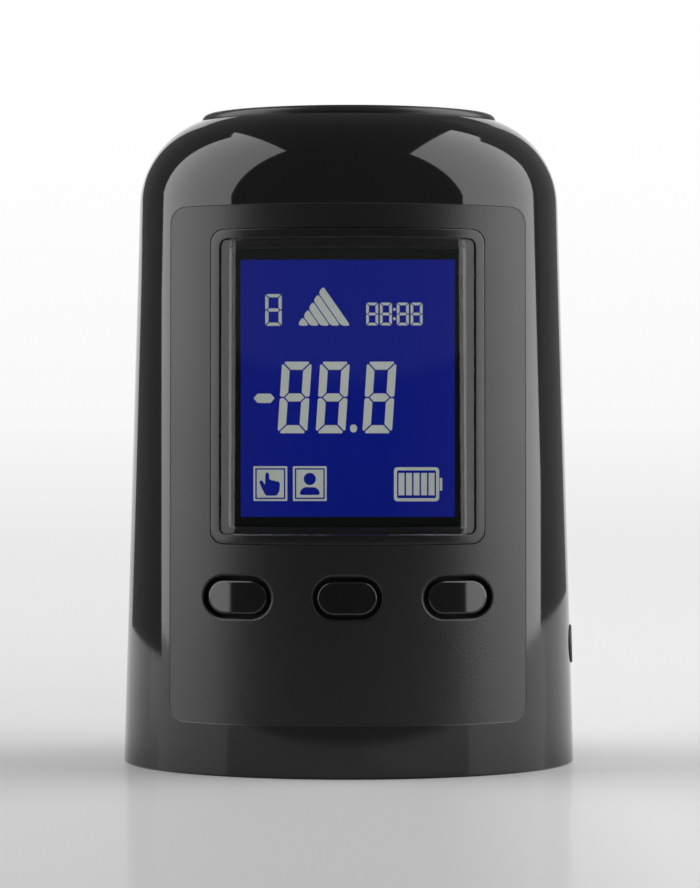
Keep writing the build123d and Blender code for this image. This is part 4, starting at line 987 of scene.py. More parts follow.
class Coil(Recipe):
    """Winds a round wire into a coil up the Z axis."""

    NAME = "Coil"
    INPUTS = {"Turns": float, "Radius": float, "Height": float, "Wire Radius": float}
    STEPS_PER_TURN = 40
    WIRE_SIDES = 16

    def grow(self) -> Wire:
        """Sweeps the wire's section along a spiral and closes its ends.

        Returns:
            The coil.
        """
        graph, inputs = self.graph, self.inputs
        spiral = graph.wire(
            "GeometryNodeCurveSpiral",
            values={
                "Resolution": self.STEPS_PER_TURN,
                "Rotations": inputs["Turns"],
                "Start Radius": inputs["Radius"],
                "End Radius": inputs["Radius"],
                "Height": inputs["Height"],
            },
        )
        values = {"Resolution": self.WIRE_SIDES, "Radius": inputs["Wire Radius"]}
        section = graph.wire("GeometryNodeCurvePrimitiveCircle", {"mode": "RADIUS"}, values)
        values = {"Curve": spiral, "Profile Curve": section, "Fill Caps": True}
        return graph.wire("GeometryNodeCurveToMesh", values=values)


class Perforate(Recipe):
    """Cuts a row of round holes, spaced by an angle on a circle about Z, through a plate."""

    NAME = "Perforate"
    INPUTS = {
        "Count": int, "Ring Radius": float, "First Angle": float, "Step Angle": float, "Hole Radius": float,
        "Hole Length": float,
    }
    HOLE_SIDES = 40

    def grow(self) -> Wire:
        """Sets pins on an arc and takes them away from the plate.

        Returns:
            The plate with its holes.
        """
        graph, inputs = self.graph, self.inputs
        points = graph.wire("GeometryNodePoints", values={"Count": inputs["Count"]})
        index = graph.wire("GeometryNodeInputIndex")
        angle = inputs["First Angle"] + index * inputs["Step Angle"]
        across, along = (inputs["Ring Radius"] * angle.math(part) for part in ("COSINE", "SINE"))
        spot = graph.wire("ShaderNodeCombineXYZ", values={"X": across, "Y": along})
        placed = graph.wire("GeometryNodeSetPosition", values={"Geometry": points, "Position": spot})
        values = {"Vertices": self.HOLE_SIDES, "Radius": inputs["Hole Radius"], "Depth": inputs["Hole Length"]}
        pin = graph.wire("GeometryNodeMeshCylinder", values=values)
        pins = graph.wire("GeometryNodeInstanceOnPoints", values={"Points": placed, "Instance": pin})
        real = graph.wire("GeometryNodeRealizeInstances", values={0: pins})
        settings = {"operation": "DIFFERENCE", "solver": "EXACT"}
        return graph.wire("GeometryNodeMeshBoolean", settings, {0: self.geometry, 1: real})


# --- Sub-assemblies ---------------------------------------------------------------------


@dataclass
class Kit:
    """The recipes that several sub-assemblies share.

    Attributes:
        revolve: Turned pieces.
        row: Raised shapes in a row.
        perforate: Rows of holes.
        coil: Coiled wires.
    """

    revolve: Revolve = field(default_factory=Revolve)
    row: RaisedRow = field(default_factory=RaisedRow)
    perforate: Perforate = field(default_factory=Perforate)
    coil: Coil = field(default_factory=Coil)

    PATH_RADIUS = 10.0

    def turned(
        self, name: str, section: Section, finish: Finish, segments: int, closed: bool = False
    ) -> bpy.types.Object:
        """Makes a turned piece.

        Args:
            name: Its name.
            section: Its profile as (radius, height) in millimetres.
            finish: What it is made of.
            segments: Faces round it.
            closed: Whether the profile is a closed loop.

        Returns:
            The piece.
        """
        path = self.PATH_RADIUS
        mesh = bpy.data.meshes.new(name)
        count = len(section)
        edges = [(i, i + 1) for i in range(count - 1)] + ([(count - 1, 0)] if closed else [])
        mesh.from_pydata([((r - path) * MM, -z * MM, 0.0) for r, z in section], edges, [])
        piece = add_object(name, mesh)
        self.revolve.run(piece, finish, Path_Radius=path * MM, Segments=segments)
        smooth(piece.data, merge=True)
        return piece


def settle(piece: bpy.types.Object, body: str, slot: str, *nodes: str) -> None:
    """Ties a piece to its body and hides the nodes that it stands for.

    Args:
        piece: The piece.
        body: The body that it moves with.
        slot: Its material slot; not used.
        nodes: The nodes that it replaces.
    """
    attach(piece, body)
    if nodes:
        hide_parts(*nodes)
    LOG.info("%s: %d faces on %s", piece.name, len(piece.data.polygons), body)


BEZEL_MOUTH = rectangle(21.1, 35.5, 83.8, 2.0)


@dataclass
class Buttons:
    """The three push buttons.

    Attributes:
        pitch: Distance between their centres.
        z: Height of the centres.
        half_width: Half a cap's width.
        half_height: Half a cap's height.
        gap: Space round a cap.
        edge: Rounding of a cap's edge.
        flange: How far the hidden flange stands out beyond the opening.
        flange_front: Inset of the flange's front.
        back: Inset of the button's back.
        stem_radius: Radius of the stem.
        stem_end: Y of the stem's end.
    """

    pitch: float = 16.85
    z: float = 27.4
    half_width: float = 4.6
    half_height: float = 2.6
    gap: float = 0.6
    edge: float = 0.4
    flange: float = 1.0
    flange_front: float = 2.1
    back: float = 3.0
    stem_radius: float = 1.8
    stem_end: float = -24.0

    STEP = 0.5
    TURN = 12
    EDGE_STEPS = 6
    FACE_STEP = 0.6
    BACK_STEP = 1.5
    STEM_POINTS = 40
    STEM_ROOT = 0.4
    SIDES = (("left", -1), ("middle", 0), ("right", 1))

    def cap(self, side: int, grow: float = 0.0) -> Outline:
        """Outline of a cap, on the side -1, 0 or 1, moved outwards."""
        return slot(side * self.pitch, self.z, self.half_width + grow, self.half_height + grow, self.STEP, self.TURN)

    def mouth(self, side: int) -> Outline:
        """Outline of a cap's opening."""
        return self.cap(side, self.gap)

    def build(self) -> None:
        """Builds and ties the three buttons."""
        for name, side in self.SIDES:
            skin = Skin()
            outline = self.cap(side)
            rings = [
                skin.trace(outline, BODY.front(self.edge * down), -self.edge * across)
                for across, down in quarter(self.EDGE_STEPS)
            ]
            skin.fill([(outline.loop(-self.edge), rings[0])], BODY.front(), self.FACE_STEP, exact=True)
            rings.append(skin.trace(outline, BODY.front(self.back - self.flange - self.gap)))
            skin.loft(rings)
            out = self.gap + self.flange
            hidden = [rings[-1]]
            for inset, grow in ((self.flange_front, 0.0), (self.flange_front, out), (self.back, out)):
                hidden.append(skin.trace(outline, BODY.front(inset), grow))
            skin.loft(hidden, 1)
            skin.fill([(outline.loop(out), hidden[-1])], BODY.front(self.back), self.BACK_STEP, 1)
            ends = (BODY.front(self.back)(outline.x, self.z).y - self.STEM_ROOT, self.stem_end)
            section = circle(outline.x, self.z, self.stem_radius, self.STEM_POINTS)
            stem = [skin.ring([Vector((x, y, z)) for x, z in section]) for y in ends]
            skin.loft(stem)
            for loop, y in zip(stem, ends):
                skin.fan(loop, Vector((outline.x, y, self.z)))
            piece = skin.build(f"push_button_{name}", [BUTTON, MATT])
            settle(piece, f"{name}_button", "button_black", f"button_{name}")


@dataclass
class ChargingPort:
    """The charging port's pocket and its rubber plug, on the +X side.

    Attributes:
        z: Height of the port.
        half_width: Half the plug's width along Y.
        half_height: Half the plug's height.
        gap: Space round the plug.
        floor: X of the pocket's floor.
        proud: How far the plug stands out of the body.
        hole_half_width: Half the width of the way through.
        hole_half_height: Half its height.
        tongue_half_width: Half the width of the plug's tongue.
        tongue_half_height: Half its thickness.
        tongue_length: Its length.
        tongue_bevel: Bevel of its tip.
    """

    z: float = 18.75
    half_width: float = 4.7
    half_height: float = 3.05
    gap: float = 0.1
    floor: float = 34.403
    proud: float = 0.3
    hole_half_width: float = 4.2
    hole_half_height: float = 1.7
    tongue_half_width: float = 3.3
    tongue_half_height: float = 0.8
    tongue_length: float = 3.6
    tongue_bevel: float = 0.2

    STEP = 0.6
    TURN = 10
    HOLE_CORNER = (0.2, STEP, 3)
    TONGUE_CORNER = (0.3, STEP, 3)
    EDGE_STEPS = 4
    FACE_STEP = 0.7
    FLAT_STEP = 0.8

    def outline(self, grow: float = 0.0) -> Outline:
        """Outline of the plug, moved outwards, as (Y, Z)."""
        return slot(0.0, self.z, self.half_width + grow, self.half_height + grow, self.STEP, self.TURN)

    def hole(self) -> Outline:
        """Outline of the way through to the jack."""
        return Outline(0.0, self.z, self.hole_half_width, self.hole_half_height, *self.HOLE_CORNER)

    def build(self) -> None:
        """Builds and ties the plug."""
        skin = Skin()
        outline = self.outline()
        proud = self.proud
        rings = [
            skin.trace(outline, BODY.side(-proud + proud * down), -proud * across)
            for across, down in quarter(self.EDGE_STEPS)
        ]
        skin.fill([(outline.loop(-proud), rings[0])], BODY.side(-proud), self.FACE_STEP, exact=True)
        floor = plane("X", self.floor)
        back = skin.trace(outline, floor)
        skin.loft([*rings, back])
        tongue = Outline(0.0, self.z, self.tongue_half_width, self.tongue_half_height, *self.TONGUE_CORNER)
        root = skin.trace(tongue, floor)
        skin.fill([(outline.loop(), back), (tongue.loop(), root)], floor, self.FLAT_STEP)
        tip_x = self.floor - self.tongue_length
        bevel = self.tongue_bevel
        neck = skin.trace(tongue, plane("X", tip_x + bevel))
        tip = skin.trace(tongue, plane("X", tip_x), -bevel)
        skin.loft([root, neck, tip])
        skin.fill([(tongue.loop(-bevel), tip)], plane("X", tip_x), self.FLAT_STEP)
        settle(skin.build("charging_plug_cover", [RUBBER]), "charging_plug", "black_rubber", "port_plug")


@dataclass
class Housing:
    """The tapered round shell with its textured panel and openings.

    Attributes:
        wall: Wall thickness.
        panel: The textured area's outline.
        panel_depth: How far the textured area lies behind the gloss.
        mouth_edge: Rounding of the buttons' openings.
        cap_seat_radius: Radius of the seat of the top cap.
        cap_seat_z: Height of that seat.
        roof_z: Height of the inner roof.
        inner_shoulder: Radius of the inner top edge.
    """

    wall: float = 2.0
    panel: Outline = rectangle(27.6, 8.0, 87.5, 2.4)
    panel_depth: float = 0.06
    mouth_edge: float = 0.45
    cap_seat_radius: float = 23.6
    cap_seat_z: float = 101.3
    roof_z: float = 99.3
    inner_shoulder: float = 10.8

    SEGMENTS = 240
    SQUASH = 0.36
    ROW = 0.9
    FOOT_EDGE = 0.25
    SHOULDER_STEPS = 26
    MOUTH_STEPS = 5
    MOUTH_SPLIT = 3
    PORT_STEP = 0.8
    LIP = 0.1
    PANEL_EDGE = ((0.06, 0.0), (0.02, 0.012))
    PANEL_FOOT = -0.06
    BEZEL_EDGE = 0.04
    GLOSS_COAT, PANEL_COAT, MATT_COAT = range(3)

    def flat(self, points: Sequence[Vector]) -> Section:
        """Unrolls points of the side: arc length across and squashed height."""
        return [(BODY.angle(p) * BODY.base_radius, p.z * self.SQUASH) for p in points]

    def unflat(self, inset: float) -> Place:
        """Returns what rolls an unrolled point back on to the body, inset behind its surface."""
        return lambda u, v: BODY.around(u / BODY.base_radius, v / self.SQUASH, inset)

    def level(self, skin: Skin, radius: float, z: float) -> Ring:
        """Adds a ring round the axis, from the back through -X to the front and on."""
        angles = [-math.pi + FULL_TURN * i / self.SEGMENTS for i in range(self.SEGMENTS)]
        return skin.ring([Vector((radius * math.sin(a), -radius * math.cos(a), z)) for a in angles])

    def sleeve(
        self, skin: Skin, low: Ring, high: Ring, inset: float, holes: Sequence[Ring], coat: int, exact: bool
    ) -> None:
        """Fills the side between two level rings, with holes in it.

        Args:
            skin: The skin being built.
            low: The lower ring.
            high: The upper ring.
            inset: How far behind the body's surface it lies.
            holes: Rings of the holes.
            coat: Its finish.
            exact: Whether it takes the body's own normals.
        """
        z_low, z_high = skin.points[low[0]].z, skin.points[high[0]].z
        rows = max(2, round((z_high - z_low) * self.SQUASH / self.ROW))
        heights = [z_low + (z_high - z_low) * i / rows for i in range(1, rows)]
        seam = skin.ring([BODY.around(-math.pi, z, inset) for z in heights])
        half = math.pi * BODY.base_radius
        across = [-half + 2 * half * i / self.SEGMENTS for i in range(self.SEGMENTS + 1)]
        bottom = [(u, z_low * self.SQUASH) for u in across]
        top = [(u, z_high * self.SQUASH) for u in reversed(across)]
        right = [(half, z * self.SQUASH) for z in heights]
        left = [(-half, z * self.SQUASH) for z in reversed(heights)]
        numbers = [*low, low[0], *seam, high[0], *reversed(high), *reversed(seam)]
        border = (bottom + right + top + left, numbers)
        cuts = [(self.flat([skin.points[i] for i in ring]), ring) for ring in holes]
        skin.fill([border, *cuts], self.unflat(inset), self.ROW, coat, exact)

    def shoulder(
        self, skin: Skin, first: Ring, mid_r: float, mid_z: float, radius: float, end: float, steps: int
    ) -> list[Ring]:
        """Adds level rings up a rounded edge, from its first ring to the angle end."""
        turns = [BODY.lean + (end - BODY.lean) * i / steps for i in range(1, steps + 1)]
        return [first, *(self.level(skin, mid_r + radius * math.cos(t), mid_z + radius * math.sin(t)) for t in turns)]

    def build(self, buttons: Buttons, port: ChargingPort) -> None:
        """Builds and ties the shell.

        Args:
            buttons: Gives the buttons' openings.
            port: Gives the charging port's pocket.
        """
        skin = Skin()
        depth = self.panel_depth
        edges = (*self.PANEL_EDGE, (self.PANEL_FOOT, depth))
        panel_rings = [skin.trace(self.panel, BODY.front(inset), grow) for grow, inset in edges]
        skin.loft(panel_rings[:2], self.GLOSS_COAT)
        skin.loft(panel_rings[1:], self.PANEL_COAT)
        edges = ((self.BEZEL_EDGE, depth), (0.0, depth + self.BEZEL_EDGE), (0.0, self.wall))
        bezel_rings = [skin.trace(BEZEL_MOUTH, BODY.front(inset), grow) for grow, inset in edges]
        skin.loft(bezel_rings, self.PANEL_COAT)
        panel_holes = [bezel_rings[0]]
        inner_holes = [bezel_rings[-1]]
        for _, side in buttons.SIDES:
            outline = buttons.mouth(side)
            rings = [
                skin.trace(outline, BODY.front(depth + self.mouth_edge * down), self.mouth_edge * across)
                for across, down in quarter(self.MOUTH_STEPS)
            ]
            rings.append(skin.trace(outline, BODY.front(self.wall)))
            skin.loft(rings[: self.MOUTH_SPLIT + 1], self.PANEL_COAT)
            skin.loft(rings[self.MOUTH_SPLIT :], self.MATT_COAT)
            panel_holes.append(rings[0])
            inner_holes.append(rings[-1])
        inner_border = [(self.flat([skin.points[i] for i in ring]), ring) for ring in (panel_rings[-1], *panel_holes)]
        skin.fill(inner_border, self.unflat(depth), self.ROW, self.PANEL_COAT, True)

        pocket = port.outline(port.gap)
        back = plane("X", port.floor)
        rim = skin.trace(pocket, BODY.side(), self.LIP)
        lip = skin.trace(pocket, BODY.side(self.LIP))
        floor = skin.trace(pocket, back)
        skin.loft([rim, lip, floor], self.GLOSS_COAT)
        hole = port.hole()
        gate = skin.trace(hole, back)
        skin.fill([(pocket.loop(), floor), (hole.loop(), gate)], back, self.PORT_STEP)
        through = skin.trace(hole, BODY.side(self.wall))
        skin.strip(gate, through)
        inner_holes.append(through)

        edge = self.FOOT_EDGE
        low = self.level(skin, BODY.radius(edge), edge)
        high = self.level(skin, BODY.radius(BODY.tangent_z), BODY.tangent_z)
        self.sleeve(skin, low, high, 0.0, [panel_rings[0], rim], self.GLOSS_COAT, True)
        end = math.acos((self.cap_seat_radius - BODY.shoulder_r) / BODY.shoulder)
        steps = self.SHOULDER_STEPS
        rings = self.shoulder(skin, high, BODY.shoulder_r, BODY.shoulder_z, BODY.shoulder, end, steps)
        skin.loft(rings, self.GLOSS_COAT, True)
        seat = self.level(skin, self.cap_seat_radius, self.cap_seat_z)
        skin.strip(rings[-1], seat)
        skin.fan(seat, Vector((0.0, 0.0, self.cap_seat_z)))

        inner_low = self.level(skin, BODY.radius(edge) - self.wall, edge)
        curve = self.inner_shoulder
        mid_z = self.roof_z - curve
        high_z = mid_z + curve * math.sin(BODY.lean)
        high_r = BODY.radius(high_z) - self.wall
        inner_high = self.level(skin, high_r, high_z)
        self.sleeve(skin, inner_low, inner_high, self.wall, inner_holes, self.GLOSS_COAT, False)
        mid_r = high_r - curve * math.cos(BODY.lean)
        rings = self.shoulder(skin, inner_high, mid_r, mid_z, curve, math.pi / 2, steps // 2)
        skin.loft(rings)
        skin.fan(rings[-1], Vector((0.0, 0.0, self.roof_z)))
        foot_out = self.level(skin, BODY.radius(0.0) - edge, 0.0)
        foot_in = self.level(skin, BODY.radius(0.0) - self.wall + edge, 0.0)
        skin.loft([low, foot_out, foot_in, inner_low])
        settle(skin.build("shell", [GLOSS, PANEL, MATT]), "body", "gloss_black_shell", "housing_shell")


@dataclass
class TopCap:
    """The flat cap on top.

    Attributes:
        radius: Its radius.
        low: Height of its underside.
        side: Height where its side ends.
        top: Height of its middle.
        edge: Rounding of its edge.
    """

    radius: float = 23.5
    low: float = 101.3
    side: float = 103.3
    top: float = 103.8
    edge: float = 0.95

    ROUNDING = 8
    BEVEL = 0.2
    CROWN = (0.98, 0.9, 0.7, 0.4, 0.15)
    SEGMENTS = 320

    def build(self, kit: Kit) -> None:
        """Builds and ties the cap.

        Args:
            kit: The shared recipes.
        """
        bevel = self.BEVEL
        section: Section = [(0.0, self.low), (self.radius - bevel, self.low), (self.radius, self.low + bevel)]
        for down, across in quarter(self.ROUNDING):
            section.append((self.radius - self.edge * across, self.side - self.edge * down))
        inner = self.radius - self.edge
        for share in self.CROWN:
            radius = inner * share
            section.append((radius, self.top - (self.top - self.side) * radius / inner))
        section.append((0.0, self.top))
        piece = kit.turned("cap_top", section, CAP, self.SEGMENTS)
        settle(piece, "body", "gloss_black_shell", "top_cap")


@dataclass
class DisplayFrame:
    """The raised frame round the display and its clear window.

    Attributes:
        clearance: Space between the frame and the shell.
        gap: Space between the window and the frame.
        edge: Rounding of the frame's outer edge.
        seat: Outline of the window's seat.
        inner_edge: Rounding of the frame's inner edge.
        window_front: Inset of the window.
        window_back: Inset of the window's back.
        window_edge: Bevel of the window.
        sight: Outline of the opening behind the window.
        lip: Depth of the sloped lip round that opening.
        back: Inset of the frame's back.
        flange: How far the flange stands out.
        flange_front: Inset of the flange's front.
    """

    clearance: float = 0.04
    gap: float = 0.03
    edge: float = 0.16
    seat: Outline = rectangle(19.6, 37.0, 82.3, 1.0)
    inner_edge: float = 0.15
    window_front: float = 0.25
    window_back: float = 1.85
    window_edge: float = 0.12
    sight: Outline = rectangle(17.65, 38.1, 80.8, 0.6)
    lip: float = 0.4
    back: float = 3.05
    flange: float = 1.0
    flange_front: float = 2.05

    EDGE_STEPS = 6
    EASING = 0.3
    PANE_STEP = 1.0

    def build(self) -> None:
        """Builds and ties the frame and the window."""
        self._frame()
        self._window()

    def _frame(self) -> None:
        """Builds the frame."""
        skin = Skin()
        corner = BEZEL_MOUTH.corner
        outer = BEZEL_MOUTH.inset(self.clearance, corner)
        flange = BEZEL_MOUTH.inset(-self.flange, corner)
        inner = self.seat
        count = len(outer.loop())

        def ring(outline: Outline, grow: float, inset: float) -> Ring:
            """Adds an outline, moved outwards, on the body's surface, with as many points as the rest."""
            lay = BODY.front(inset)
            return skin.ring([lay(x, z) for x, z in resample(outline.loop(grow), count)])

        turns = quarter(self.EDGE_STEPS)
        rings = [ring(flange, 0.0, self.flange_front), ring(outer, 0.0, self.flange_front)]
        rings += [ring(outer, -self.edge * across, self.edge * down) for down, across in turns]
        rings += [ring(inner, self.inner_edge * across, self.inner_edge * down) for across, down in turns]
        skin.loft(rings)
        hidden = [
            rings[-1],
            ring(inner, 0.0, self.window_back),
            ring(self.sight, self.lip, self.window_back),
            ring(self.sight, 0.0, self.window_back + self.lip),
            ring(self.sight, 0.0, self.back),
            ring(flange, 0.0, self.back),
            rings[0],
        ]
        skin.loft(hidden, 1)
        settle(skin.build("display_surround", [FRAME, MATT]), "body", "satin_black_frame", "display_bezel")

    def _window(self) -> None:
        """Builds the window."""
        skin = Skin()
        outline = self.seat.inset(self.gap, self.seat.corner - self.gap)
        bevel, front, back = self.window_edge, self.window_front, self.window_back
        easing = self.EASING * bevel
        edges = ((-bevel, front), (-easing, front + easing), (0.0, front + bevel), (0.0, back))
        rings = [skin.trace(outline, BODY.front(inset), grow) for grow, inset in edges]
        skin.loft(rings)
        skin.fill([(outline.loop(-bevel), rings[0])], BODY.front(front), self.PANE_STEP, exact=True)
        skin.fill([(outline.loop(), rings[-1])], BODY.front(back), self.PANE_STEP)
        settle(skin.build("window_pane", [CLEAR]), "body", "clear_window", "display_window")


def resample(points: Sequence[Point], count: int) -> Section:
    """Spreads points evenly round a closed outline, starting at its first.

    Args:
        points: The outline.
        count: How many points to return.

    Returns:
        The new points.
    """
    path = np.array([*points, points[0]])
    length = np.concatenate([[0.0], np.cumsum(np.hypot(*np.diff(path, axis=0).T))])
    spots = np.linspace(0.0, length[-1], count, endpoint=False)
    return [(float(np.interp(s, length, path[:, 0])), float(np.interp(s, length, path[:, 1]))) for s in spots]


@dataclass
class Screen:
    """The display glass and the shapes that light up on it.

    Attributes:
        front: Y of the glass's front.
        back: Y of its back.
        half_width: Half its width.
        low: Its lower edge.
        high: Its upper edge.
        proud: Thickness of the lit shapes.
        slant: Sideways lean of the large digits.
        squeeze: Width of the shapes against their width as seen through the curved window.
    """

    front: float = -23.905
    back: float = -21.905
    half_width: float = 18.6
    low: float = 37.1
    high: float = 81.9
    proud: float = 0.03
    slant: float = 0.066
    squeeze: float = 0.983

    PLACES = {
        "digit_level": (-11.52, 71.48), "digits_minutes": (3.8, 70.85), "digits_seconds": (8.55, 70.85),
        "colon": (7.24, 70.85), "digits_tens": (-8.25, 57.98), "digit_tenths": (4.93, 57.98),
        "decimal_point": (0.9, 53.2), "minus_sign": (-12.98, 57.85), "level_stripes": (-3.78, 69.05),
        "battery_outline": (10.68, 44.58), "battery_bars": (8.35, 44.6), "icon_hand_frame": (-12.02, 44.68),
        "icon_hand": (-12.02, 44.68), "icon_head_frame": (-5.9, 44.68), "icon_head": (-5.9, 44.68),
    }
    REPEATS = {
        "digits_minutes": (2, 2.13), "digits_seconds": (2, 2.13), "digits_tens": (2, 5.92), "battery_bars": (5, 1.165),
    }
    DIGITS = {"level": (2.55, 4.9, 0.5, 0.18), "clock": (1.86, 3.52, 0.42, 0.14), "large": (4.6, 11.05, 1.25, 0.22)}
    BARS = {
        "dot": (0.22, 0.22, 0.2), "point": (0.55, 0.62, 0.54), "battery": (3.5, 2.63, 0.55),
        "battery_hole": (3.02, 2.15, 0.25), "battery_pole": (0.2, 0.98, 0.08), "battery_bar": (0.46, 1.72, 0.03),
        "icon_frame": (2.62, 2.68, 0.12), "icon_hole": (2.32, 2.38, 0.06), "icon_field": (2.1, 2.16, 0.06),
    }
    BAR_STEPS = (5.0, 4)
    DOT_Z = 0.72
    POLE_X = 3.78
    CUT, MITRE, TIP = 0.4, 1.41, 0.15
    MINUS = ((-1.62, 0.0), (-1.0, 0.72), (1.0, 0.72), (1.62, 0.0), (1.0, -0.72), (-1.0, -0.72))
    TRIANGLE = ((-4.12, 0.0), (4.2, 0.0), (-0.07, 6.1))
    STRIPES = 5
    STRIPE_WIDTH = 1.17
    STRIPE_PITCH = 1.32
    STRIPE_ROUND = 0.5
    PALM = (
        (-0.7, -1.85), (1.0, -1.85), (1.42, -1.1), (1.5, 0.05), (1.2, 0.42), (0.88, 0.28), (0.62, 0.56),
        (0.3, 0.42), (0.02, 0.68), (-0.18, 0.6), (-0.18, 1.5), (-0.48, 1.8), (-0.78, 1.5), (-0.82, -0.2),
        (-1.2, 0.42), (-1.58, 0.55), (-1.72, 0.25), (-1.3, -0.8),
    )
    PALM_ROUND = (0.2, 3)
    HEAD = (0.0, 0.72, 0.95, 28)
    SHOULDERS = ((-1.6, -1.75), (1.6, -1.75), (1.45, -1.0), (0.85, -0.55), (-0.85, -0.55), (-1.45, -1.0))
    SHOULDER_ROUND = 0.4
    SIDE_SHARE = 0.48
    GLASS_CORNER = (0.3, 6.0)
    BEVEL = 0.1
    FACE_STEP = 4.0
    NO_STEP = 50.0

    def digit(self, width: float, height: float, stroke: float, gap: float) -> list[Section]:
        """Makes the seven segments of a digit, centred on the origin.

        Args:
            width: Overall width.
            height: Overall height.
            stroke: Width of a segment.
            gap: Space between segments.

        Returns:
            A polygon for each segment.
        """
        w, h, s, g = width / 2, height / 2, stroke, gap / 2
        half, cut, k, tip = s / 2, self.CUT * s, self.MITRE * g, self.TIP * s
        top = [
            (-w + cut, h), (w - cut, h), (w - cut / 2 - k, h - cut / 2), (w - s - k, h - s),
            (-w + s + k, h - s), (-w + cut / 2 + k, h - cut / 2),
        ]
        middle = [
            (-w + half + k, 0.0), (-w + s + k, half), (w - s - k, half),
            (w - half - k, 0.0), (w - s - k, -half), (-w + s + k, -half),
        ]
        right = [
            (w, h - cut), (w - cut / 2, h - cut / 2 - k), (w - s, h - s - k), (w - s, half + k),
            (w - half, g), (w - tip, g), (w, tip + g),
        ]
        mirror = [(-x, z) for x, z in reversed(right)]
        upper = [top, right, mirror]
        lower = [[(x, -z) for x, z in reversed(shape)] for shape in upper]
        return [*upper, middle, *lower]

    def bar(self, kind: str, x: float = 0.0, z: float = 0.0) -> Section:
        """Makes a rounded bar of one of the kinds in BARS."""
        return Outline(x, z, *self.BARS[kind], *self.BAR_STEPS).loop()

    def shapes(
        self, kit: Kit, name: str, polygons: Sequence[Section], slant: float = 0.0, holes: Sequence[Section] = ()
    ) -> None:
        """Makes lit shapes from flat polygons, placed and repeated as PLACES and REPEATS say.

        Args:
            kit: The shared recipes.
            name: The piece's name.
            polygons: Flat outlines about the piece's origin.
            slant: Sideways lean.
            holes: Outlines cut out of the first polygon.
        """
        x, z = self.PLACES[name]
        count, pitch = self.REPEATS.get(name, (1, 0.0))
        skin = Skin()
        flat = plane("Z", 0.0)
        for index, polygon in enumerate(polygons):
            loops = [polygon, *(holes if index == 0 else ())]
            skin.fill([(loop, skin.ring([flat(a, b) for a, b in loop])) for loop in loops], flat, self.NO_STEP)
        mesh = bpy.data.meshes.new(name)
        mesh.from_pydata([p * MM for p in skin.points], [], skin.faces)
        piece = add_object(name, mesh)
        kit.row.run(piece, SYMBOL, Count=count, Pitch=pitch * MM, Slant=slant, Thickness=self.proud * MM)
        stand = Matrix.Rotation(math.pi / 2, 4, "X")
        narrow = Matrix.Diagonal((self.squeeze, 1.0, 1.0, 1.0))
        piece.data.transform(narrow @ Matrix.Translation(Vector((x, self.front, z)) * MM) @ stand)
        smooth(piece.data, merge=True)
        settle(piece, "body", "display_glass")

    def build(self, kit: Kit) -> None:
        """Builds and ties the glass and its shapes.

        Args:
            kit: The shared recipes.
        """
        skin = Skin()
        outline = rectangle(self.half_width, self.low, self.high, *self.GLASS_CORNER)
        bevel = self.BEVEL
        edges = ((-bevel, self.front), (0.0, self.front + bevel), (0.0, self.back - bevel), (-bevel, self.back))
        rings = [skin.trace(outline, plane("Y", y), grow) for grow, y in edges]
        skin.loft(rings)
        for ring, y in ((rings[0], self.front), (rings[-1], self.back)):
            skin.fill([(outline.loop(-bevel), ring)], plane("Y", y), self.FACE_STEP)
        settle(skin.build("screen_glass", [SCREEN]), "body", "display_glass", "lcd_glass")

        level, clock, large = (self.digit(*self.DIGITS[size]) for size in ("level", "clock", "large"))
        drawn = {
            "digit_level": level,
            "digits_minutes": clock,
            "digits_seconds": clock,
            "colon": [self.bar("dot", z=z) for z in (-self.DOT_Z, self.DOT_Z)],
            "digits_tens": large,
            "digit_tenths": large,
            "decimal_point": [self.bar("point")],
            "minus_sign": [self.MINUS],
            "level_stripes": self.stripes(),
            "battery_outline": [self.bar("battery"), self.bar("battery_pole", self.POLE_X)],
            "battery_bars": [self.bar("battery_bar")],
        }
        for name, polygons in drawn.items():
            holes = [self.bar("battery_hole")] if name == "battery_outline" else ()
            self.shapes(kit, name, polygons, self.slant if polygons is large else 0.0, holes)
        for name, sign in (("icon_hand", self.hand()), ("icon_head", self.figure())):
            self.shapes(kit, f"{name}_frame", [self.bar("icon_frame")], holes=[self.bar("icon_hole")])
            self.shapes(kit, name, [self.bar("icon_field")], holes=sign)

    @staticmethod
    def clip(polygon: Sequence[Point], through: Point, along: Point) -> Section:
        """Keeps the part of a convex polygon on the left of a line.

        Args:
            polygon: The polygon.
            through: A point of the line.
            along: The line's direction.

        Returns:
            The part that is left.
        """
        kept: Section = []
        sides = [along[0] * (z - through[1]) - along[1] * (x - through[0]) for x, z in polygon]
        for i, (point, side) in enumerate(zip(polygon, sides)):
            before, other = polygon[i - 1], sides[i - 1]
            if (side >= 0) != (other >= 0):
                share = other / (other - side)
                kept.append((before[0] + share * (point[0] - before[0]), before[1] + share * (point[1] - before[1])))
            if side >= 0:
                kept.append(point)
        return kept

    @staticmethod
    def soften(polygon: Sequence[Point], radius: float, steps: int = 5) -> Section:
        """Rounds a polygon's corners.

        Args:
            polygon: The polygon.
            radius: How far from a corner its rounding starts, at most.
            steps: Points on each corner.

        Returns:
            The rounded polygon.
        """
        smooth: Section = []
        for i, corner in enumerate(polygon):
            here = Vector(corner)
            ends = []
            for other in (polygon[i - 1], polygon[(i + 1) % len(polygon)]):
                way = Vector(other) - here
                ends.append(here + way.normalized() * min(radius, Screen.SIDE_SHARE * way.length))
            for step in range(steps + 1):
                share = step / steps
                point = ends[0] * (1 - share) ** 2 + here * (2 * share * (1 - share)) + ends[1] * share**2
                smooth.append((point.x, point.y))
        return smooth

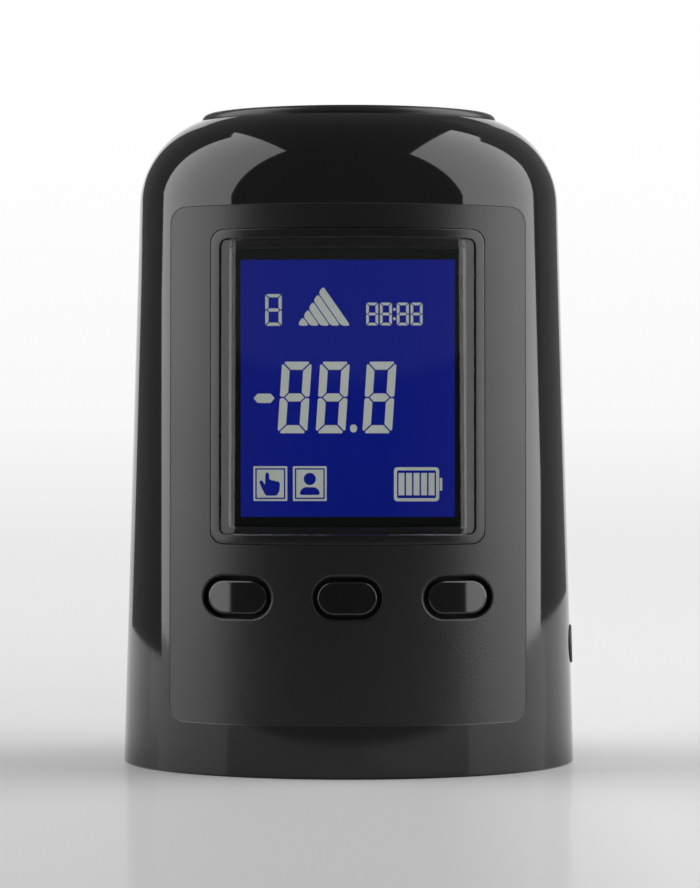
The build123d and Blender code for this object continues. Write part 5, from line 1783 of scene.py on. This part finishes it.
    def stripes(self) -> list[Section]:
        """Makes five stripes that fill a triangle, along its right side and ever shorter.

        Returns:
            A polygon for each stripe.
        """
        left, right, apex = self.TRIANGLE
        run, rise = right[0] - apex[0], -apex[1]
        length = math.hypot(run, rise)
        along = (run / length, rise / length)
        shapes = []
        for index in range(self.STRIPES):
            shift = index * self.STRIPE_PITCH
            near = (right[0] + along[1] * shift, right[1] - along[0] * shift)
            far = (near[0] + along[1] * self.STRIPE_WIDTH, near[1] - along[0] * self.STRIPE_WIDTH)
            stripe = self.clip(self.TRIANGLE, near, (-along[0], -along[1]))
            stripe = self.clip(stripe, far, along)
            if len(stripe) > 2:
                shapes.append(self.soften(stripe, self.STRIPE_ROUND))
        return shapes

    def hand(self) -> list[Section]:
        """Makes a plain pointing hand."""
        return [self.soften(self.PALM, *self.PALM_ROUND)]

    def figure(self) -> list[Section]:
        """Makes a plain round head and shoulders."""
        return [circle(*self.HEAD), self.soften(self.SHOULDERS, self.SHOULDER_ROUND)]


@dataclass
class Foot:
    """The base plate with its vents and screws, and the socket for the suction tip.

    Attributes:
        low: Height of the plate's underside.
        high: Height of its upper side.
        radius: Its radius.
        opening: Radius of the hole for the socket.
        boss_ring: Distance of the screws from the axis.
        boss_angles: Their angles.
        boss_radius: Radius of their posts.
        post_top: Height of the posts.
        head_radius: Radius of a screw's head.
        head_height: Its height.
        head_room: Space round a head.
        key_radius: Corner radius of the screw's hexagon.
        shank_radius: Radius of a screw.
        shank_top: Height of a screw's end.
        socket_radius: Radius of the socket's bore.
        socket_wall: Its wall.
        socket_low: Height of its mouth.
        flange: Radius of the socket's flange.
        flange_high: Height of the flange's upper side.
        socket_top: Height of the socket's top.
        roof: Height of the roof over the filter.
        filter_radius: Radius of the filter's seat.
        filter_low: Height of that seat's mouth.
        seal_radius: Radius of the seal's seat.
        seal_low: Height of the step under it.
        spout: Radii of the air spout's bore, barrel and tip.
        spout_length: Its length.
        spout_z: Its height.
    """

    low: float = 1.2
    high: float = 3.2
    radius: float = 33.808
    opening: float = 9.6
    boss_ring: float = 28.5
    boss_angles: tuple[float, ...] = (-30.0, 70.0, 210.0)
    boss_radius: float = 3.2
    post_top: float = 19.0
    head_radius: float = 2.3
    head_height: float = 1.3
    head_room: float = 0.1
    key_radius: float = 1.25
    shank_radius: float = 1.25
    shank_top: float = 28.6
    socket_radius: float = 7.5
    socket_wall: float = 2.0
    socket_low: float = 0.6
    flange: float = 12.0
    flange_high: float = 4.7
    socket_top: float = 17.0
    roof: float = 15.1
    filter_radius: float = 3.0
    filter_low: float = 12.0
    seal_radius: float = 7.0
    seal_low: float = 11.0
    spout: tuple[float, float, float] = (0.6, 1.1, 0.95)
    spout_length: float = 5.0
    spout_z: float = 14.5

    VENTS = {"Count": 9, "Ring_Radius": 20.0 * MM, "First_Angle": math.radians(54), "Step_Angle": math.radians(9)}
    VENT_RADIUS = 0.8
    VENT_LENGTH = 20.0
    BEVEL = 0.2
    FACE_STEP = 3.0
    HEAD_ROUND = ((0.3, 0.0), (0.08, 0.1), (0.0, 0.35))
    KEY_DEPTH = 0.6
    KEY_CENTRE = 0.7
    MOUTH_IN = ((0.0, 0.35), (0.1, 0.1), (0.35, 0.0))
    MOUTH_OUT = ((0.4, 0.0), (0.1, 0.12), (0.0, 0.4))
    TOP_BEVEL = 0.4
    SOCKET_SEGMENTS = 160
    SPOUT_SEGMENTS = 40
    ROUND = 96
    HOLE_POINTS = 48
    KEY_SIDES = 6

    def levels(
        self, skin: Skin, x: float, y: float, steps: Sequence[Point], count: int
    ) -> list[tuple[Section, Ring]]:
        """Adds a level circle round an upright line for each radius and height, and returns each flat and as a ring."""
        flats = [(circle(x, y, radius, count), z) for radius, z in steps]
        return [(flat, skin.ring([Vector((a, b, z)) for a, b in flat])) for flat, z in flats]

    def spots(self) -> Section:
        """Returns the screws' places."""
        turns = [math.radians(a) for a in self.boss_angles]
        return [(self.boss_ring * math.cos(t), self.boss_ring * math.sin(t)) for t in turns]

    def build(self, kit: Kit) -> None:
        """Builds and ties the foot's pieces.

        Args:
            kit: The shared recipes.
        """
        self._plate(kit)
        self._screws()
        self._socket(kit)

    def _plate(self, kit: Kit) -> None:
        """Builds the plate with its posts, counterbores and vents.

        Args:
            kit: The shared recipes.
        """
        skin = Skin()
        bevel, low, high = self.BEVEL, self.low, self.high
        outer = ((self.radius - bevel, low), (self.radius, low + bevel), (self.radius, high))
        inner = ((self.opening + bevel, low), (self.opening, low + bevel), (self.opening, high))
        lows, highs = [], []
        for steps, count in ((outer, 2 * self.ROUND), (inner, self.ROUND)):
            rounds = self.levels(skin, 0, 0, steps, count)
            skin.loft([ring for _, ring in rounds])
            lows.append(rounds[0])
            highs.append(rounds[-1])
        bore, through = self.head_radius + self.head_room, self.shank_radius + self.head_room
        shelf = low + self.head_height
        steps = (
            (bore + bevel, low), (bore, low + bevel), (bore, shelf), (through, shelf), (through, self.post_top),
            (self.boss_radius, self.post_top), (self.boss_radius, high),
        )
        for x, y in self.spots():
            rounds = self.levels(skin, x, y, steps, self.HOLE_POINTS)
            skin.loft([ring for _, ring in rounds])
            lows.append(rounds[0])
            highs.append(rounds[-1])
        skin.fill(lows, plane("Z", low), self.FACE_STEP)
        skin.fill(highs, plane("Z", high), self.FACE_STEP)
        finish = SLOT_FINISHES["satin_black_frame"]
        piece = skin.build("foot_plate", [finish])
        size = {"Hole_Radius": self.VENT_RADIUS * MM, "Hole_Length": self.VENT_LENGTH * MM}
        kit.perforate.run(piece, finish, **size, **self.VENTS)
        smooth(piece.data, merge=True)
        settle(piece, "body", "satin_black_frame", "base_plate")

    def _screws(self) -> None:
        """Builds the three screws with their hexagon sockets."""
        skin = Skin()
        per_side = self.HOLE_POINTS // self.KEY_SIDES
        low, high = self.low, self.low + self.head_height
        steps = [(self.head_radius - inward, low + up) for inward, up in self.HEAD_ROUND]
        steps += [(self.head_radius, high), (self.shank_radius, high), (self.shank_radius, self.shank_top)]
        for x, y in self.spots():
            corners = circle(x, y, self.key_radius, self.KEY_SIDES)
            key = [
                (a[0] + (b[0] - a[0]) * j / per_side, a[1] + (b[1] - a[1]) * j / per_side)
                for a, b in zip(corners, corners[1:] + corners[:1])
                for j in range(per_side)
            ]
            floor, rim = (
                skin.ring([Vector((a, b, z)) for a, b in key]) for z in (low + self.KEY_DEPTH * self.head_height, low)
            )
            rings = [rim, *(ring for _, ring in self.levels(skin, x, y, steps, self.HOLE_POINTS))]
            skin.strip(floor, rim)
            skin.loft(rings)
            skin.fan(floor, Vector((x, y, low + self.KEY_CENTRE * self.head_height)))
            skin.fan(rings[-1], Vector((x, y, self.shank_top + self.BEVEL)))
        piece = skin.build("foot_screws", [SLOT_FINISHES["screw_steel"]])
        settle(piece, "body", "screw_steel", "base_screws")

    def _socket(self, kit: Kit) -> None:
        """Builds the socket with its flange, seal seat and air spout.

        Args:
            kit: The shared recipes.
        """
        bore, low, top = self.socket_radius, self.socket_low, self.socket_top
        out = bore + self.socket_wall
        bevel = self.TOP_BEVEL
        section: Section = [
            *((bore + outward, low + up) for outward, up in self.MOUTH_IN),
            *((out - inward, low + up) for inward, up in self.MOUTH_OUT),
            (out, self.high), (self.flange, self.high), (self.flange, self.flange_high), (out, self.flange_high),
            (out, top - bevel), (out - bevel, top), (0.0, top), (0.0, self.roof), (self.filter_radius, self.roof),
            (self.filter_radius, self.filter_low), (self.seal_radius, self.filter_low),
            (self.seal_radius, self.seal_low), (bore, self.seal_low),
        ]
        finish = SLOT_FINISHES["socket_grey"]
        piece = kit.turned("tip_socket", section, finish, self.SOCKET_SEGMENTS, closed=True)
        settle(piece, "body", "socket_grey", "suction_socket")
        hole, barrel, tip = self.spout
        end = self.spout_length
        spout: Section = [(hole, 0.0), (barrel, 0.0), (barrel, end - bevel), (tip, end), (hole, end)]
        barb = kit.turned("socket_spout", spout, finish, self.SPOUT_SEGMENTS, closed=True)
        turn = Matrix.Rotation(-math.pi / 2, 4, "X")
        barb.data.transform(Matrix.Translation(Vector((0.0, out, self.spout_z)) * MM) @ turn)
        settle(barb, "body", "socket_grey")


class InnerWorks:
    """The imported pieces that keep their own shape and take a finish."""

    def dress(self) -> None:
        """Gives every node the finish of its material slot."""
        slots = {part["node"]: part["material_slot"] for part in frame["record"]["subparts"]}
        for name, obj in frame["nodes"].items():
            material = SLOT_FINISHES[slots[name]].build()
            for holder in obj.material_slots:
                holder.material = material
        LOG.info("%d packed pieces dressed", len(slots))


@dataclass
class ReturnSpring:
    """The release valve's spring, which shortens as the core lifts.

    Attributes:
        wire: Radius of its wire.
        turns: Number of turns.
        play: Room left at each end.
    """

    wire: float = 0.25
    turns: float = 4.0
    play: float = 0.02

    JOINT = "release_core_lift"
    NODE = "valve_spring"

    def build(self, kit: Kit) -> None:
        """Builds the spring and ties it to the body.

        Args:
            kit: The shared recipes.
        """
        joint = next(row for row in frame["record"]["behaviour"]["joints"] if row["name"] == self.JOINT)
        low, high = (Vector(corner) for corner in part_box(self.NODE))
        middle = (low + high) / 2
        inset = (self.wire + self.play) * MM
        piece = add_object("return_spring", bpy.data.meshes.new("return_spring"))
        kit.coil.run(
            piece,
            SLOT_FINISHES["screw_steel"],
            Turns=self.turns,
            Radius=(high.x - low.x) / 2 - self.wire * MM,
            Height=high.z - low.z - 2 * inset,
            Wire_Radius=self.wire * MM,
        )
        piece.data.transform(Matrix.Translation((middle.x, middle.y, low.z + inset)))
        smooth(piece.data, merge=True)
        settle(piece, "body", "screw_steel", self.NODE)
        travel = joint["range_m"][1] / (high.z - low.z)
        1 - travel
        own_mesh(piece)


# --- Studio -----------------------------------------------------------------------------


@dataclass(frozen=True)
class DarkScreen:
    """A dark screen behind the object.

    Attributes:
        side: -1 on the left, 1 on the right.
        reach: Its distance from the axis.
        light: Its own brightness.
        edges: Height, and the angles from the front where it starts and ends there.
    """

    side: int
    reach: float
    light: float
    edges: tuple[tuple[float, float, float], ...]


@dataclass
class Studio:
    """Floor, lamps, dark surroundings and the camera, in metres.

    Attributes:
        lamp_light: Strength of the left and right soft boxes.
        floor_colour: Colour of the floor.
        fade: Distance at which the floor behind the object is halfway to white.
        haze: Brightness of the far floor.
        gloom: Brightness of the dark surroundings.
        front_gloom: Brightness of the dark surroundings behind the camera.
        floor_shade_light: Brightness of a dim sheet on the floor before the object, seen only in reflections, where it
            is painted shade on that floor.
        lens: Focal length in millimetres.
        eye: Where the camera stands.
        target: What it looks at.
    """

    lamp_light: tuple[float, float] = (2.6, 2.9)
    floor_colour: Colour = (0.6, 0.6, 0.6)
    fade: float = 0.27
    haze: float = 0.93
    gloom: float = 0.13
    front_gloom: float = 0.035
    floor_shade_light: float = 0.19
    lens: float = 160.14
    eye: tuple[float, float, float] = (0.0043, -0.63398, 0.054)
    target: tuple[float, float, float] = (0.00019, 0.0, 0.05068)

    FLOOR_RADIUS = 30.0
    WALL_HEIGHT = 2.4
    NEAR_FLOOR = 0.22
    BEHIND = 0.03
    DOME_RADIUS = 1.6
    LOW_OPENING = (math.radians(42), math.radians(10))
    HIGH_OPENING = (math.radians(23), math.radians(30))
    FRONT_HALF_ANGLE = math.radians(64)
    FRONT_HIGH = math.radians(6)
    # Painted shade: a dim sheet on the floor before the object, seen only in reflections; its near and far edges, and
    # its height.
    FLOOR_SHADE = (-0.21, -1.6)
    FLOOR_SHADE_Z = 0.001
    FILL = 0.22
    # Painted pool of light on the floor towards +X: where it starts, how wide its ramp is, and the floor's tone outside
    # and inside it.
    PAINTED_LIGHT_START = 0.012
    PAINTED_LIGHT_WIDTH = 0.03
    PAINTED_LIGHT_TONES = (0.97, 1.26)
    CLOUD_SCALE = 3.0
    CLOUD_DETAIL = 3.0
    CLOUD_SHARE = 0.1
    FLOOR_GLOSS = {"Roughness": 0.6, "Specular IOR Level": 0.1, "Coat Weight": 0.14, "Coat Roughness": 0.12}
    TURNS = 96
    WALL_SHARE = 0.99
    WALL_FOOT = -0.01
    WALL_RISE = 0.7
    DOME_TURNS = 90
    DOME_RISES = 48
    DOME_LOW = math.radians(-6)
    DOME_SPAN = math.radians(96)
    SCREEN_STEPS = 12
    SENSOR = 36.0
    CLIP = (0.01, 100.0)
    LAMP_FACES = ((0, 3, 4, 1), (1, 4, 5, 2))
    LAMPS = (
        (
            (-0.907, -0.487, 0.0), (-0.932, -0.421, 0.19), (-0.441, -0.347, 0.94),
            (-0.9, 0.53, 0.0), (-0.9, 0.53, 0.19), (-0.433, 0.54, 0.815),
        ),
        (
            (0.908, -0.485, 0.0), (0.921, -0.446, 0.19), (0.452, -0.412, 0.907),
            (0.9, 0.53, 0.0), (0.9, 0.53, 0.19), (0.401, 0.426, 0.905),
        ),
    )
    SCREENS = (
        DarkScreen(
            -1, 0.33, 0.13,
            (
                (0.009, 107.0, 148.5), (0.045, 110.8, 148.5), (0.092, 116.2, 149.5), (0.14, 118.0, 158.5),
                (0.5, 121.0, 158.5),
            ),
        ),
        DarkScreen(
            1, 0.4, 0.19,
            (
                (0.014, 114.0, 155.5), (0.045, 117.3, 155.5), (0.096, 122.7, 156.5), (0.14, 122.7, 160.0),
                (0.5, 122.0, 160.0),
            ),
        ),
    )

    def build(self) -> None:
        """Sets up the whole studio."""
        self._world()
        self._floor()
        self._wall()
        self._lamps()
        self._dome()
        self._screens()
        self._camera()
        bpy.context.scene.view_settings.view_transform = "Standard"

    @staticmethod
    def _seen(graph: Graph) -> Wire:
        """Tells the rays that see from those that only light.

        Args:
            graph: The tree.

        Returns:
            1 for camera, glossy and transmission rays, else 0.
        """
        path = graph.make("ShaderNodeLightPath")
        rays = [Wire(graph, path.outputs[f"Is {kind} Ray"]) for kind in ("Camera", "Glossy", "Transmission")]
        return rays[0].math("MAXIMUM", rays[1]).math("MAXIMUM", rays[2])

    def _world(self) -> None:
        """White where it is seen, and a soft fill for everything else."""
        world = bpy.data.worlds.new("studio")
        bpy.context.scene.world = world
        world.use_nodes = True
        graph = Graph(world.node_tree)
        strength = self.FILL + (1 - self.FILL) * self._seen(graph)
        graph.fill(graph.tree.nodes["Background"], {"Color": WHITE, "Strength": strength})

    def _floor(self) -> None:
        """Pale floor that fades to white behind the object and shines a little, with a painted pool of light: its
        colour is lighter towards +X.
        """
        mesh = bpy.data.meshes.new("floor")
        with editing(mesh) as sheet:
            bmesh.ops.create_circle(sheet, cap_ends=True, segments=self.TURNS, radius=self.FLOOR_RADIUS)
        material, graph = new_material("floor_pale")
        shader = graph.tree.nodes[SHADER]
        place = graph.place()
        across, along, _ = graph.split(place)
        # Painted light: the floor's colour is raised towards +X, standing in for the brighter light on that side.
        painted_light = ((across - self.PAINTED_LIGHT_START) / self.PAINTED_LIGHT_WIDTH).clamp()
        cloudy = graph.noise(place, self.CLOUD_SCALE, self.CLOUD_DETAIL)
        dim, bright = (tuple(k * c for c in self.floor_colour) for k in self.PAINTED_LIGHT_TONES)
        tint = graph.mix(self.CLOUD_SHARE * cloudy + (1 - self.CLOUD_SHARE) * painted_light, dim, bright)
        graph.fill(shader, {"Base Color": tint, **self.FLOOR_GLOSS})
        away = (across * across + along * along).math("SQRT") - self.NEAR_FLOOR
        beyond = (along + self.BEHIND).math("MAXIMUM", away).math("MAXIMUM", 0.0)
        share = beyond / (beyond + self.fade) * self._seen(graph)
        white = graph.glow(WHITE, self.haze)
        graph.close(graph.make("ShaderNodeMixShader", values={0: share, 1: shader.outputs[0], 2: white}).outputs[0])
        mesh.materials.append(material)
        add_object("floor", mesh)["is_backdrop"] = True

    def _wall(self) -> None:
        """Far wall that leads from the floor's haze up to white."""
        corners, faces = [], []
        reach = self.FLOOR_RADIUS * self.WALL_SHARE
        for i in range(self.TURNS):
            turn = FULL_TURN * i / self.TURNS
            x, y = reach * math.sin(turn), reach * math.cos(turn)
            corners += [(x, y, self.WALL_FOOT), (x, y, self.WALL_HEIGHT)]
            k = (i + 1) % self.TURNS
            faces.append((2 * i, 2 * k, 2 * k + 1, 2 * i + 1))
        card = self._card("far_wall", corners, faces, 1.0)
        card.visible_camera = True
        graph = Graph(card.data.materials[0].node_tree)
        _, _, up = graph.split(graph.place())
        rise = (up / self.WALL_HEIGHT).math("MAXIMUM", 0.0).math("POWER", self.WALL_RISE)
        tone = self.haze + (1.0 - self.haze) * rise
        graph.close(graph.glow(graph.wire("ShaderNodeCombineXYZ", values={0: tone, 1: tone, 2: tone})))

    def _card(
        self,
        name: str,
        corners: Sequence[Sequence[float]],
        faces: Sequence[Sequence[int]],
        light: float,
        fills: bool = False,
    ) -> bpy.types.Object:
        """Makes a lit or dark sheet.

        Args:
            name: Its name.
            corners: Its points.
            faces: Its faces.
            light: The strength of its light.
            fills: Whether it lights rough surfaces too, and isn't only seen in reflections.

        Returns:
            The sheet, hidden from the camera.
        """
        mesh = bpy.data.meshes.new(name)
        mesh.from_pydata([Vector(c) for c in corners], [], faces)
        material, graph = new_material(name)
        graph.close(graph.glow(WHITE, light))
        mesh.materials.append(material)
        card = add_object(name, mesh)
        card.visible_camera = False
        card.visible_shadow = False
        card.visible_diffuse = fills
        card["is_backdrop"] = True
        return card

    def _lamps(self) -> None:
        """A soft box on each side, leaning over the object at its top."""
        for name, corners, light in zip(("lamp_left", "lamp_right"), self.LAMPS, self.lamp_light):
            self._card(name, corners, self.LAMP_FACES, light, fills=True)

    def _dome(self) -> None:
        """Dark surroundings for reflections, open at the back where the white wall is."""
        turns, rises, low, span = self.DOME_TURNS, self.DOME_RISES, self.DOME_LOW, self.DOME_SPAN
        corners, front, rest = [], [], []
        for j in range(rises + 1):
            rise = low + span * j / rises
            for i in range(turns):
                turn = FULL_TURN * i / turns
                flat = self.DOME_RADIUS * math.cos(rise)
                corners.append((flat * math.sin(turn), flat * math.cos(turn), self.DOME_RADIUS * math.sin(rise)))
        for j in range(rises):
            rise = low + span * (j + 0.5) / rises
            for i in range(turns):
                turn = FULL_TURN * (i + 0.5) / turns
                away = min(turn, FULL_TURN - turn)
                if any(away < wide and rise < high for wide, high in (self.LOW_OPENING, self.HIGH_OPENING)):
                    continue
                k = (i + 1) % turns
                facing = math.pi - away < self.FRONT_HALF_ANGLE and rise < self.FRONT_HIGH
                (front if facing else rest).append(
                    (j * turns + i, j * turns + k, (j + 1) * turns + k, (j + 1) * turns + i)
                )
        self._card("dark_dome", corners, rest, self.gloom)
        self._card("dark_front", corners, front, self.front_gloom)
        # Painted shade: a dim sheet on the floor before the object, seen only in reflections, darkens that floor in
        # them.
        near, far = self.FLOOR_SHADE
        spread = math.tan(self.FRONT_HALF_ANGLE)
        floor_shade = [(x * spread * y, y, self.FLOOR_SHADE_Z) for x, y in ((1, near), (-1, near), (-1, far), (1, far))]
        self._card("painted_floor_shade", floor_shade, [(0, 1, 2, 3)], self.floor_shade_light)

    def _screens(self) -> None:
        """A dark screen behind the object on each side."""
        steps = self.SCREEN_STEPS
        for screen in self.SCREENS:
            corners, faces = [], []
            for z, start, end in screen.edges:
                for i in range(steps + 1):
                    turn = math.radians(start + (end - start) * i / steps)
                    corners.append((screen.side * screen.reach * math.sin(turn), -screen.reach * math.cos(turn), z))
            for j in range(len(screen.edges) - 1):
                for i in range(steps):
                    a = j * (steps + 1) + i
                    faces.append((a, a + 1, a + steps + 2, a + steps + 1))
            self._card("screen_left" if screen.side < 0 else "screen_right", corners, faces, screen.light)

    def _camera(self) -> None:
        """Places the camera."""
        data = bpy.data.cameras.new("camera")
        data.lens = self.lens
        data.sensor_width = self.SENSOR
        data.clip_start, data.clip_end = self.CLIP
        camera = bpy.data.objects.new("camera", data)
        bpy.context.scene.collection.objects.link(camera)
        camera.location = self.eye
        ahead = Vector(self.target) - Vector(self.eye)
        camera.rotation_euler = ahead.to_track_quat("-Z", "Y").to_euler()
        bpy.context.scene.camera = camera


def main() -> None:
    """Builds every sub-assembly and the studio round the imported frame."""
    logging.basicConfig(level=logging.INFO, format="%(name)s: %(message)s")
    kit = Kit()
    buttons = Buttons()
    port = ChargingPort()
    InnerWorks().dress()
    Housing().build(buttons, port)
    TopCap().build(kit)
    DisplayFrame().build()
    Screen().build(kit)
    buttons.build()
    port.build()
    Foot().build(kit)
    ReturnSpring().build(kit)
    Studio().build()
    sizes = {"cad": CAD_BOX, "visual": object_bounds()}
    {name: [list(corner) for corner in box] for name, box in sizes.items()}


if __name__ == "__main__":
    main()
